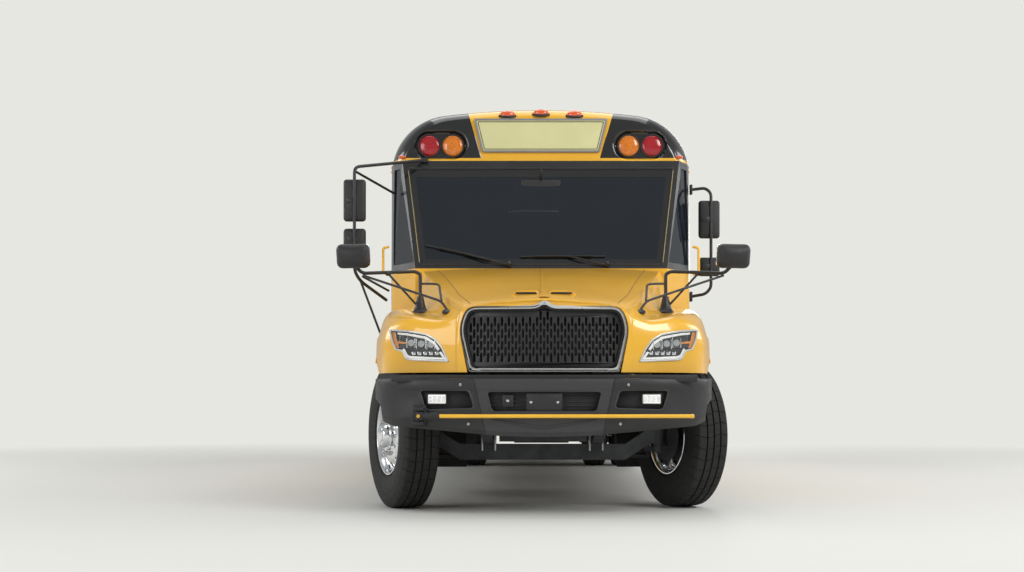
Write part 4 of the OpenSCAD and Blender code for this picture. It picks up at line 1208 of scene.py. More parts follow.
def bumper_station(x):
    curve = catmull([Vector(p) for p in BUMPER_PLAN], 10)
    return straight_line([(p.x, p.y) for p in curve], abs(x))


def bumper_bottom(x):
    return straight_line([(0, BUMPER_LOW), (.30, .541), (.46, .556), (.80, .586), (1.02, .606), (1.09, .634),
                          (1.155, .725)],
                         abs(x))


def bumper_push(z, low):
    """How far the bumper's face lies behind its plan, by height."""
    return straight_line([(low, .034), (low + .03, .010), (.66, .0), (.70, .004), (.84, .004), (.858, -.003),
                          (.905, -.003), (.919, .004), (BUMPER_TOP, .024)], z)


def bumper_seam(z):
    """Half-width of the seam between the bumper's middle and its ends, at a height."""
    return .376 + (z - .50) * .094 / .426


def build_bumper():
    xs = sorted(set([round(x, 4) for x in steps_between(-1.155, 1.155, 150)]))
    bm = bmesh.new()
    rows = []
    for x in xs:
        low = bumper_bottom(x)
        heights = [low, low + .012, low + .03] + steps_between(low + .06, .66, 5)
        heights += [.70, .77, .84, .848, .858, .88, .905, .912, .919, BUMPER_TOP]
        if low > .66:
            squeeze = (BUMPER_TOP - low) / (BUMPER_TOP - BUMPER_LOW)
            heights = [low + (z - BUMPER_LOW) * squeeze for z in heights]
        rows.append([bm.verts.new(at(x, bumper_station(x) + bumper_push(z, low), z)) for z in sorted(heights)])
    grid_faces(bm, rows)
    for side in (-1, 1):
        low, high = Vector((side * bumper_seam(.50), 0, .50)), Vector((side * bumper_seam(.926), 0, .926))
        split_by_plane(bm, low, (high - low).cross(Vector((0, 1, 0))).normalized())
    for face in bm.faces:
        middle = face.calc_center_median()
        face.material_index = 0 if abs(middle.x) < bumper_seam(middle.z) else 1
    openings = [round_outline([(-.350, .700), (.350, .700), (.385, .838), (-.385, .838)], .030, 4)]
    for side in (-1, 1):
        ring = [(.462, .722), (.790, .712), (.832, .846), (.500, .846)]
        openings.append(round_outline([(side * x, z) for x, z in ring], .030, 4))
    for ring in openings:
        punch(bm, ring, .60)
    mesh = thicken(facing(bm, "bumper", Vector((0, -1, 0))), 0.010)
    bumper = add_piece("front_bumper_skin", mesh, ["bumper_grey", "bumper_dark"], "chassis", angle=28)
    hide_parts("front_bumper")
    rims = Shape()
    for ring in openings:
        points = [at(u, bumper_station(u) + bumper_push(v, bumper_bottom(u)) + .004, v) for u, v in ring + ring[:2]]
        rims.tube(points, .0065, 8, .004)
    rims.piece("bumper_opening_edges", "bumper_grey", "chassis", "bumper_paint", angle=60)
    parts = Shape()
    parts.block(at(-1.02, .130, .900), at(1.02, .150, .948), .004)
    for side in (-1, 1):
        parts.block(at(side * .645 - .19, .150, .705), at(side * .645 + .19, .158, .852), .002)
    parts.block(at(-.39, .128, .69), at(.39, .136, .848), .002)
    for z in (.742, .770, .798):
        for side in (-1, 1):
            parts.block(at(side * .255 - .115, .118, z - .004), at(side * .255 + .115, .130, z + .004), .001)
    parts.index = 1
    parts.block(at(-.120, .082, .700), at(.120, .094, .826), .008)
    parts.block(at(-.112, .078, .708), at(.112, .086, .818), .004)
    parts.block(at(-.278, .078, .735), at(-.205, .112, .812), .006)
    parts.block(at(-.262, .070, .752), at(-.222, .084, .795), .004)
    parts.index = 2
    for x in (-.089, .089):
        parts.lathe([(0, 0), (0, .009), (.004, .008), (.006, .004), (.006, 0)], at(x, .079, .764), (0, -1, 0), 16)
    parts.lathe([(0, 0), (0, .010), (.005, .009), (.007, .004), (.007, 0)], at(-.242, .072, .774), (0, -1, 0), 16)
    parts.piece("bumper_inserts", ["moulded_black", "bumper_dark", "bolt_steel"], "chassis", "black_plastic")
    seams = Shape()
    for side in (-1, 1):
        points = [at(side * bumper_seam(z), bumper_station(.42) + bumper_push(z, .55) - .0002, z)
                  for z in steps_between(.562, .918, 16)]
        seams.tube(points, .0028, 6, .001)
    seams.piece("bumper_seams", "moulded_black", "chassis", "black_plastic")
    bolts = Shape()
    for x, z in ((.557, .880), (.504, .621)):
        for side in (-1, 1):
            centre = at(side * x, bumper_station(x) + bumper_push(z, bumper_bottom(x)) + .001, z)
            bolts.lathe([(0, 0), (0, .010), (.003, .010), (.007, .006), (.007, 0)], centre, (0, -1, 0), 14)
    bolts.piece("bumper_bolts", "bolt_steel", "chassis", "bare_metal")
    chevron = Shape()
    points = [at(x, bumper_station(x) - .0005, z) for x, z in
              [(-.345, .650), (-.20, .626), (-.07, .606), (0, .598), (.07, .606), (.20, .626), (.345, .650)]]
    chevron.tube(points, .006, 8, .06)
    chevron.piece("bumper_chevron", "bumper_grey", "chassis", "bumper_paint")
    fog = Shape()
    for side in (-1, 1):
        v0, v1 = .752, .820
        base = .108
        fog.index = 0
        fog.block(at(side * .714 - .070, base, v0 - .006), at(side * .714 + .070, base + .045, v1 + .006), .010)
        fog.index = 1
        fog.block(at(side * .714 - .060, base - .006, v0 + .003), at(side * .714 + .060, base + .012, v1 - .003), .008)
        fog.index = 2
        for i in range(4):
            u = side * .714 - .045 + i * .030
            fog.block(at(u - .011, base - .008, v0 + .014), at(u + .011, base, v1 - .014), .003)
    fog.piece("fog_lamps", ["moulded_black", "white_guide", "fog_lens"], "chassis", "lamp_lens")


# ---------------------------------------------------------------- crossing arm

ARM_STATION, ARM_Z = 0.030, 0.673


def build_crossing_arm():
    pin = joint_place("crossing_arm_hinge")[0]
    arm = Shape()
    arm.tube([at(-.700, ARM_STATION, ARM_Z), at(.975, ARM_STATION, ARM_Z)], .0130, 16)
    arm.lathe([(0, 0), (0, .0145), (.016, .0145), (.020, .010), (.020, 0)], at(.968, ARM_STATION, ARM_Z), (1, 0, 0), 18)
    first = arm.piece("crossing_arm_tube", "arm_yellow", "crossing_arm", "arm_yellow")
    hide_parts("crossing_arm")
    hub = Shape()
    hub.block(at(-.850, .012, .644), at(-.800, .062, .702), .010)
    hub.lathe([(0, 0), (0, .0215), (.004, .0235), (.105, .0235), (.112, .018), (.112, 0)],
              at(-.806, ARM_STATION, ARM_Z), (1, 0, 0), 22)
    hub.rod((pin.x, pin.y, .610), (pin.x, pin.y, .736), .010, 18, .002)
    hub.piece("crossing_arm_coupling", "moulded_black", "crossing_arm", "black_plastic")
    ring = Shape()
    ring.lathe([(.0, .004), (.0, .011), (.004, .011), (.006, .008), (.004, .004)], (pin.x, pin.y - .034, ARM_Z),
               (0, -1, 0), 20, True)
    ring.piece("crossing_arm_ring", "arm_yellow", "crossing_arm", "bare_metal")
    mount = Shape()
    for low in (.615, .709):
        mount.block(at(-.868, .012, low), at(-.796, .120, low + .020), .004)
    mount.block(at(-.880, .100, .600), at(-.784, .150, .745), .006)
    mount.piece("crossing_arm_bracket", "moulded_black", "chassis", "black_plastic")


# ---------------------------------------------------------------- wheels

TREAD_BLOCKS = 40
RIBS = ((-.106, -.058), (-.046, -.006), (.006, .046), (.058, .106))
SIDEWALL = [(.100, .292), (.112, .296), (.119, .306), (.1245, .3085), (.126, .316), (.132, .345), (.137, .378),
            (.1385, .405), (.1385, .430), (.1365, .434), (.1360, .440), (.1375, .444), (.133, .462), (.124, .488),
            (.116, .505), (.110, .514)]
LINER = [(.085, .300), (.118, .345), (.124, .420), (.100, .485), (.0, .500)]
BARREL = [(-.112, .289), (-.117, .286), (-.117, .279), (-.100, .270), (-.060, .262), (.060, .262), (.100, .270),
          (.117, .279), (.117, .286), (.112, .289), (.100, .283), (.060, .275), (-.060, .275), (-.100, .283)]


def round_axle(centre, axis):
    """Places (along, radius, angle) round an axle, with angle 0 upward."""
    centre, axis = Vector(centre), Vector(axis).normalized()
    up = Vector((0, 0, 1))
    side = up.cross(axis).normalized()
    return lambda along, radius, angle: centre + axis * along + radius * (up * math.cos(angle) + side * math.sin(angle))


def tyre_section():
    """Closed section of a tyre as (along, radius, whether sipes cut it)."""
    def crown(along):
        return TYRE_R - .007 * (along / .106) ** 2
    section = [(-a, r, False) for a, r in SIDEWALL]
    for i, (low, high) in enumerate(RIBS):
        section += [(a, crown(a), True) for a in steps_between(low, high, 4)]
        if i < len(RIBS) - 1:
            section += [(high + .002, crown(high) - .014, False), (RIBS[i + 1][0] - .002, crown(high) - .014, False)]
    section += [(a, r, False) for a, r in reversed(SIDEWALL)]
    return section + [(a, r, False) for a, r in LINER] + [(-a, r, False) for a, r in reversed(LINER[:-1])]


def add_tyre(shape, place):
    """A truck tyre: ribs with fine curved sipes, shoulder notches, and a sidewall with a rim guard."""
    section = tyre_section()
    turns = []
    for block in range(TREAD_BLOCKS):
        turns += [(9.0 * block + offset, offset == .3) for offset in (0, .3, .6, 3.2, 6.0)]
    rings = []
    for degrees, low in turns:
        ring = []
        for along, radius, sipe in section:
            bend = 1.5 * math.sin(math.pi * along / .106) if sipe or radius > .5 else 0
            notch = .012 if low and .110 <= abs(along) <= .125 and radius > .48 else 0
            depth = .007 if sipe and low else notch
            ring.append(shape.bm.verts.new(place(along, radius - depth, math.radians(degrees + bend))))
        rings.append(ring)
    count = len(section)
    for i, ring in enumerate(rings):
        after = rings[(i + 1) % len(rings)]
        for k in range(count):
            j = (k + 1) % count
            shape.bm.faces.new((ring[k], after[k], after[j], ring[j])).material_index = shape.index


def pierced_ring(shape, place, along_at, low, high, hole, count, thickness):
    """A dished ring with round holes; along_at gives its place along the axle at a radius."""
    middle = (low + high) / 2
    half_w, half_h = middle * math.pi / count, (high - low) / 2
    corner = math.atan2(half_h, half_w)
    turns = sorted({round(a, 5) for a in [corner, math.pi - corner, math.pi + corner, 2 * math.pi - corner]
                    + [2 * math.pi * i / 36 for i in range(36)]})
    for sector in range(count):
        heading = 2 * math.pi * sector / count
        faces_of = []
        for sign, depth in ((1, 0.0), (-1, -thickness)):
            rows = []
            for t in turns:
                dx, dy = math.cos(t), math.sin(t)
                reach = min(half_w / max(abs(dx), 1e-6), half_h / max(abs(dy), 1e-6))
                row = []
                for distance in [hole, hole + .003] + steps_between(hole + .003, reach, 3)[1:]:
                    radius = middle + distance * dy
                    sink = .003 * sign if distance == hole else 0
                    row.append(shape.bm.verts.new(place(along_at(radius) + depth - sink, radius,
                                                        heading + distance * dx / middle)))
                rows.append(row)
            rows.append(rows[0])
            faces_of.append(rows)
            for row_a, row_b in zip(rows, rows[1:]):
                for i in range(len(row_a) - 1):
                    shape.bm.faces.new((row_a[i], row_a[i + 1], row_b[i + 1], row_b[i])).material_index = shape.index
        for i in range(len(turns)):
            a, b = faces_of[0][i][0], faces_of[0][i + 1][0]
            c, d = faces_of[1][i + 1][0], faces_of[1][i][0]
            shape.bm.faces.new((a, b, c, d)).material_index = shape.index
    bmesh.ops.remove_doubles(shape.bm, verts=shape.bm.verts, dist=2e-5)


def add_nuts(shape, place, axis, along, circle, count, size):
    for k in range(count):
        angle = 2 * math.pi * (k + .5) / count
        shape.lathe([(0, 0), (0, size * 1.25), (.004, size * 1.2), (.004, size)], place(along, circle, angle), axis, 18)
        shape.lathe([(.004, size * 1.02), (.020, size * 1.02), (.024, size * .8), (.024, size * .5)],
                    place(along, circle, angle), axis, 6)
        shape.lathe([(.018, size * .5), (.034, size * .5), (.036, size * .4), (.036, 0)], place(along, circle, angle),
                    axis, 12)


def front_wheel(side, suffix):
    centre, axis = joint_place("spin_front_" + suffix)
    body = "wheel_front_" + suffix
    axis = axis * side
    place = round_axle(centre, axis)
    tyre = Shape()
    add_tyre(tyre, place)
    piece = tyre.piece("tyre_tread_front_" + suffix, "tyre_tread", body, "tyre_rubber", angle=40)
    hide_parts("tyre_front_" + suffix)

    def dish(radius):
        return straight_line([(.15, .105), (.19, .098), (.225, .075), (.262, .040)], radius)
    rim = Shape()
    rim.lathe(BARREL, centre, axis, 96, True)
    pierced_ring(rim, place, dish, .175, .262, .028, 10, .012)
    rim.lathe([(.088, .177), (.101, .177), (.106, .150), (.106, .108), (.094, .108), (.092, .150), (.088, .177)][::-1],
              centre, axis, 96)
    piece = rim.piece("alloy_wheel_front_" + suffix, "wheel_alloy", body, "wheel_alloy", angle=35)
    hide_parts("rim_front_" + suffix)
    hub = Shape()
    add_nuts(hub, place, axis, .105, .134, 10, .0155)
    hub.index = 1
    hub.lathe([(.09, .104), (.116, .104), (.122, .098), (.124, .088), (.160, .080), (.168, .074), (.170, .058),
               (.176, .055), (.178, .040), (.178, 0)], centre, axis, 64)
    for k in range(6):
        hub.lathe([(0, 0), (0, .007), (.005, .0065), (.006, 0)], place(.168, .067, math.radians(60 * k)), axis, 6)
    hub.piece("wheel_hub_front_" + suffix, ["bolt_steel", "wheel_alloy"], body, "bare_metal", angle=30)
    drum = Shape()
    drum.lathe([(-.020, 0), (-.020, .19), (-.014, .205), (.040, .208), (.046, .200), (.046, .11), (.060, .10)],
               centre, axis, 64)
    drum.piece("brake_drum_front_" + suffix, "cast_iron", body, "engine_block")


def rear_wheels(side, suffix):
    centre, axis = joint_place("spin_rear_" + suffix)
    body = "wheels_rear_" + suffix
    low, high = node_box("tyres_rear_" + suffix)
    outer_x, inner_x = (high.x - .140, low.x + .140) if side > 0 else (low.x + .140, high.x - .140)
    axis = Vector((side, 0, 0))
    outer, inner = Vector((outer_x, centre.y, centre.z)), Vector((inner_x, centre.y, centre.z))
    tyres = Shape()
    for middle in (outer, inner):
        add_tyre(tyres, round_axle(middle, axis))
    piece = tyres.piece("tyre_treads_rear_" + suffix, "tyre_tread", body, "tyre_rubber", angle=40)
    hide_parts("tyres_rear_" + suffix)
    place = round_axle(outer, axis)

    def dish(radius):
        return straight_line([(.15, -.105), (.19, -.098), (.225, -.075), (.262, -.030)], radius)
    rims = Shape()
    for middle in (outer, inner):
        rims.lathe(BARREL, middle, axis, 96, True)
    pierced_ring(rims, place, dish, .175, .262, .028, 10, .012)
    rims.lathe([(-.118, .177), (-.106, .177), (-.103, .150), (-.103, .100), (-.116, .100), (-.118, .150),
                (-.118, .177)], outer, axis, 96)
    rims.lathe([(.130, .270), (.150, .205), (.178, .185), (.178, .10), (.166, .10), (.166, .185), (.140, .205),
                (.120, .270)], inner, axis, 64, True)
    piece = rims.piece("alloy_wheels_rear_" + suffix, "wheel_alloy", body, "wheel_alloy", angle=35)
    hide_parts("rims_rear_" + suffix)
    hub = Shape()
    add_nuts(hub, place, axis, -.103, .134, 10, .0155)
    hub.index = 1
    hub.lathe([(-.12, .104), (-.09, .104), (-.080, .098), (.040, .092), (.050, .110), (.066, .112), (.070, .106),
               (.074, .050), (.078, .046), (.080, 0)], outer, axis, 64)
    for k in range(8):
        hub.lathe([(0, 0), (0, .009), (.006, .0085), (.008, 0)], place(.068, .090, math.radians(45 * k)), axis, 6)
    hub.piece("wheel_hub_rear_" + suffix, ["bolt_steel", "cast_iron"], body, "bare_metal", angle=30)


# ---------------------------------------------------------------- seats

def rounded_spacing(half, radius):
    """Grid lines across a rounded box, closer together near its edges."""
    edge = [half - radius, half - .66 * radius, half - .33 * radius, half]
    middle = steps_between(-(half - radius), half - radius, 6)[1:-1]
    return [-v for v in reversed(edge)] + middle + edge


def padded_box(shape, low, high, radius, crown=0.0, pull=0.0, turn=None):
    """A cushion: a rounded box whose faces swell and whose sides pull in between the corners."""
    low, high = Vector(low), Vector(high)
    half, middle = (high - low) / 2, (high + low) / 2
    lines = [rounded_spacing(half[i], radius) for i in range(3)]
    known = {}

    def point(p):
        key = tuple(round(v, 5) for v in p)
        if key in known:
            return known[key]
        inner = Vector([min(max(p[i], radius - half[i]), half[i] - radius) for i in range(3)])
        out = Vector(p) - inner
        q = inner + out.normalized() * radius if out.length > 1e-6 else Vector(p)
        k = [q[i] / half[i] for i in range(3)]
        thin = min(range(3), key=lambda i: half[i])
        wide = [i for i in range(3) if i != thin]
        swell = (1 - k[wide[0]] ** 2) * (1 - k[wide[1]] ** 2)
        q[thin] += crown * swell * (1 if k[thin] > 0 else -1) * abs(k[thin]) - crown * .5 * (1 - swell) * k[thin]
        for a, b in ((wide[0], wide[1]), (wide[1], wide[0])):
            q[a] -= pull * (1 - k[b] ** 2) * k[a] * abs(k[a])
        if turn is not None:
            q = turn @ q
        known[key] = shape.bm.verts.new(middle + q)
        return known[key]
    for axis in range(3):
        u, v = [i for i in range(3) if i != axis]
        for end in (-half[axis], half[axis]):
            grid = []
            for a in lines[u]:
                row = []
                for b in lines[v]:
                    p = [0.0, 0.0, 0.0]
                    p[axis], p[u], p[v] = end, a, b
                    row.append(point(p))
                grid.append(row)
            for row_a, row_b in zip(grid, grid[1:]):
                for i in range(len(row_a) - 1):
                    shape.bm.faces.new((row_a[i], row_a[i + 1], row_b[i + 1], row_b[i])).material_index = shape.index


SEAT_PITCH = 0.66
FIRST_SEAT = node_box("passenger_seats")[0].y - FRONT
SEAT_HIGH = node_box("passenger_seats")[1].z
SEAT_ROWS = 1 + round((node_box("passenger_seats")[1].y - FRONT - .47 - FIRST_SEAT) / SEAT_PITCH)
AISLE = 0.182
BENCH_END = node_box("passenger_seats")[1].x


def build_benches():
    cushions, backs, frames, seams = Shape(), Shape(), Shape(), Shape()
    for row in range(SEAT_ROWS):
        b = FIRST_SEAT + row * SEAT_PITCH
        for side in (-1, 1):
            near, far = sorted((side * (AISLE + .004), side * (BENCH_END - .004)))
            padded_box(cushions, at(near, b + .006, 1.468), at(far, b + .394, 1.572), .034, .010, .006)
            padded_box(backs, at(near, b + .404, 1.470), at(far, b + .466, SEAT_HIGH - .006), .026, .006, .007)
            for z in (1.60, 2.06):
                seams.tube([at(near + .02, b + .4055, z), at(far - .02, b + .4055, z)], .0030, 6, .01)
            seams.tube([at(near + .03, b + .012, 1.552), at(far - .03, b + .012, 1.552)], .0035, 6, .01)
            frames.rod(at(side * .20, b + .10, 1.455), at(side * 1.15, b + .10, 1.455), .013, 12)
            frames.rod(at(side * .20, b + .36, 1.455), at(side * 1.15, b + .36, 1.455), .013, 12)
            leg = side * .257
            for foot, top in ((.08, .10), (.37, .36)):
                frames.tube([at(leg, b + foot, 1.136), at(leg, b + top, 1.30), at(leg, b + top, 1.455)], .014, 12, .08)
            frames.block(at(leg - .024, b + .04, 1.131), at(leg + .024, b + .40, 1.139), .002)
    first = cushions.piece("bench_cushions", "seat_vinyl", "chassis", "seat_vinyl", angle=60)
    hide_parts("passenger_seats")
    backs.piece("bench_backs", "seat_vinyl", "chassis", "seat_vinyl", angle=60)
    seams.piece("bench_welts", "seat_vinyl", "chassis", "seat_vinyl", angle=60)
    frames.piece("bench_frames", "satin_black", "chassis", "frame_steel", angle=40)


def build_driver_place():
    low, high = node_box("driver_seat")
    x0, x1, b0, b1 = low.x, high.x, low.y - FRONT, high.y - FRONT
    middle = (x0 + x1) / 2
    pads = Shape()
    padded_box(pads, at(x0 + .005, b0 + .005, 1.50), at(x1 - .005, b1 - .04, 1.61), .040, .010, .006)
    padded_box(pads, at(x0 + .015, b1 - .095, 1.60), at(x1 - .015, b1 - .008, 2.08), .038, .006, .008)
    padded_box(pads, at(middle - .13, b1 - .085, 2.095), at(middle + .13, b1 - .015, 2.235), .032, .006, .004)
    first = pads.piece("driver_pads", "driver_cloth", "chassis", "driver_vinyl", angle=60)
    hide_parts("driver_seat")
    frame_parts = Shape()
    for k in range(5):
        z = 1.20 + k * .050
        frame_parts.lathe([(0, .13), (.012, .150), (.024, .155), (.036, .150), (.048, .13)],
                          at(middle, (b0 + b1) / 2, z), (0, 0, 1), 40)
    frame_parts.block(at(middle - .17, b0 + .06, 1.132), at(middle + .17, b1 - .04, 1.185), .008)
    frame_parts.block(at(middle - .20, b0 + .02, 1.455), at(middle + .20, b1 - .04, 1.498), .008)
    frame_parts.rod(at(middle - .06, b1 - .05, 2.07), at(middle - .06, b1 - .05, 2.10), .007, 12)
    frame_parts.rod(at(middle + .06, b1 - .05, 2.07), at(middle + .06, b1 - .05, 2.10), .007, 12)
    frame_parts.piece("driver_seat_base", "moulded_black", "chassis", "black_plastic", angle=40)
    dash = Shape()
    low, high = node_box("dashboard")
    d0 = low.y - FRONT
    dash.block(at(.33, d0 + .19, 1.700), at(.85, d0 + .234, 1.786), .012)
    for x, r in ((.44, .034), (.59, .042), (.74, .034)):
        dash.index = 1
        dash.lathe([(0, r), (.006, r + .004), (.010, r), (.010, r - .003), (.004, r - .005)], at(x, d0 + .232, 1.742),
                   (0, 1, 0), 36)
        dash.index = 2
        dash.lathe([(0, 0), (0, r - .003), (.003, r - .004), (.003, 0)], at(x, d0 + .233, 1.742), (0, 1, 0), 36)
    dash.piece("dashboard_gauges", ["moulded_black", "satin_trim", "white_plastic"], "chassis", "black_plastic")


# ---------------------------------------------------------------- mirrors

def build_crossview_mirrors(height):
    arms, heads = Shape(), Shape()
    for side in (-1, 1):
        foot = height(side * .87, .77)
        arms.lathe([(-.012, 0), (-.012, .060), (0, .060), (.006, .052), (.030, .040), (.085, .027), (.110, .022),
                    (.110, 0)], at(side * .87, .77, foot + .006), (0, 0, 1), 36)
        arms.tube([at(side * .87, .77, foot + .09), at(side * .87, .77, 1.672), at(side * .905, .760, 1.690),
                   at(side * 1.27, .650, 1.668), at(side * 1.318, .630, 1.720)], .0125, 16, .06)
        disc = height(side * .66, .36)
        arms.lathe([(-.010, 0), (-.010, .034), (.006, .034), (.014, .024), (.018, 0)], at(side * .66, .36, disc),
                   (0, -.25, 1), 28)
        arms.tube([at(side * .66, .36, disc + .014), at(side * .70, .385, disc + .075), at(side * 1.262, .640, 1.652)],
                  .0085, 12, .04)
        arms.tube([at(side * .862, .770, 1.605), at(side * .735, .735, 1.600), at(side * .700, .40, disc + .080)],
                  .0080, 12, .05)
        arms.tube([at(side * 1.09, .70, 1.668), at(side * .90, .765, foot + .060)], .0080, 12, .01)
        arms.lathe([(0, .018), (.030, .018)], at(side * 1.075, .712, 1.672), (side, -.3, 0), 20)
        heads.index = 0
        turn = Matrix.Rotation(math.radians(side * 10), 4, "Z") @ Matrix.Rotation(math.radians(12), 4, "X")
        centre = Vector((side * 1.325, FRONT + .585, 1.782))
        padded_box(heads, centre - Vector((.120, .050, .086)), centre + Vector((.120, .050, .086)), .046, .016, .002,
                   turn)
        heads.index = 1
        glass = centre + turn @ Vector((0, .052, 0))
        padded_box(heads, glass - Vector((.108, .014, .074)), glass + Vector((.108, .014, .074)), .0135, .010, .0, turn)
    first = heads.piece("crossview_heads", ["moulded_black", "mirror_face"], "hood", "black_plastic", angle=50)
    arms.piece("crossview_arms", "satin_black", "hood", "black_plastic", angle=40)
    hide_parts("fender_mirrors")


MIRROR_B = SIDE_START - 0.150
ARM_B = node_box("side_mirrors")[0].y - FRONT + 0.013


def mirror_head(shape, x, b, low_z, high_z):
    """A rounded housing with a rim and a flat or slightly curved glass behind it."""
    shape.index = 0
    padded_box(shape, at(x - .0865, b - .012, low_z), at(x + .0865, b + .046, high_z), .026, .008, .0)
    shape.index = 2
    padded_box(shape, at(x - .074, b + .034, low_z + .014), at(x + .074, b + .053, high_z - .014), .0090, .001, .0)
    shape.index = 1
    middle = (low_z + high_z) / 2
    shape.block(at(x - .060, b - .022, middle - .020), at(x + .010, b - .010, middle + .020), .004)


def build_side_mirrors():
    heads, tubes = Shape(), Shape()
    x = HALF_W + .151
    mirror_head(heads, x, MIRROR_B, 2.092, 2.400)
    mirror_head(heads, x, MIRROR_B, 1.785, 1.938)
    tubes.tube([at(HALF_W + .002, MIRROR_B + .030, 2.490), at(HALF_W + .120, MIRROR_B, 2.500),
                at(HALF_W + .163, MIRROR_B - .018, 2.455), at(HALF_W + .163, MIRROR_B - .018, 1.690),
                at(HALF_W + .120, MIRROR_B, 1.640), at(HALF_W + .002, MIRROR_B + .030, 1.620)], .0125, 14, .06)
    for z in (2.490, 1.620):
        tubes.block(at(HALF_W - .004, MIRROR_B - .002, z - .040), at(HALF_W + .016, MIRROR_B + .062, z + .040), .006)
    x = -(HALF_W + .223)
    mirror_head(heads, x, ARM_B + .006, 2.158, 2.484)
    mirror_head(heads, x, ARM_B + .006, 1.944, 2.104)
    tubes.tube([at(-HALF_W - .006, ARM_B + .330, 1.572), at(-HALF_W - .181, ARM_B + .060, 1.700),
                at(x + .002, ARM_B - .016, 1.770), at(x + .002, ARM_B - .016, 2.575),
                at(-HALF_W + .294, ARM_B + .405, 2.695)], .0125, 14, .05)
    tubes.tube([at(x + .002, ARM_B - .010, 2.545), at(-HALF_W + .039, ARM_B + .470, 2.440)], .0100, 12, .01)
    tubes.tube([at(-HALF_W - .181, ARM_B + .060, 1.700), at(-HALF_W - .016, ARM_B + .180, 1.238)], .0090, 12, .01)
    tubes.tube([at(x + .060, ARM_B + .020, 1.735), at(-HALF_W + .020, ARM_B + .250, 1.640)], .0090, 12, .01)
    tubes.block(at(-HALF_W - .022, ARM_B + .150, 1.228), at(-HALF_W + .010, ARM_B + .210, 1.262), .005)
    tubes.block(at(-HALF_W + .262, ARM_B + .380, 2.676), at(-HALF_W + .322, ARM_B + .430, 2.712), .006)
    first = heads.piece("mirror_heads", ["moulded_black", "satin_black", "mirror_face"], "chassis", "black_plastic",
                        angle=50)
    tubes.piece("mirror_brackets", "satin_black", "chassis", "black_plastic", angle=40)
    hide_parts("side_mirrors")


# ---------------------------------------------------------------- windshield

def loose_boxes(name):
    """Boxes of the separate solids in a CAD node, as (low, high)."""
    bm = bmesh.new()
    bm.from_mesh(NODES[name].data)
    bmesh.ops.remove_doubles(bm, verts=bm.verts, dist=1e-5)
    left, boxes = set(bm.verts), []
    while left:
        stack, seen = [left.pop()], []
        while stack:
            vert = stack.pop()
            seen.append(vert.co.copy())
            for edge in vert.link_edges:
                other = edge.other_vert(vert)
                if other in left:
                    left.discard(other)
                    stack.append(other)
        boxes.append((Vector([min(c[i] for c in seen) for i in range(3)]),
                      Vector([max(c[i] for c in seen) for i in range(3)])))
    bm.free()
    return sorted(boxes, key=lambda box: (round(box[0].y, 3), box[0].x))


def front_finder(name):
    """A function that gives the station of a CAD node's front surface at a half-width and height."""
    data = NODES[name].data
    tree = BVHTree.FromPolygons([v.co.copy() for v in data.vertices], [tuple(p.vertices) for p in data.polygons])

    def station(x, z):
        hit = tree.ray_cast(Vector((x, FRONT - 1, z)), Vector((0, 1, 0)))
        return hit[0].y - FRONT if hit[0] is not None else None
    return station


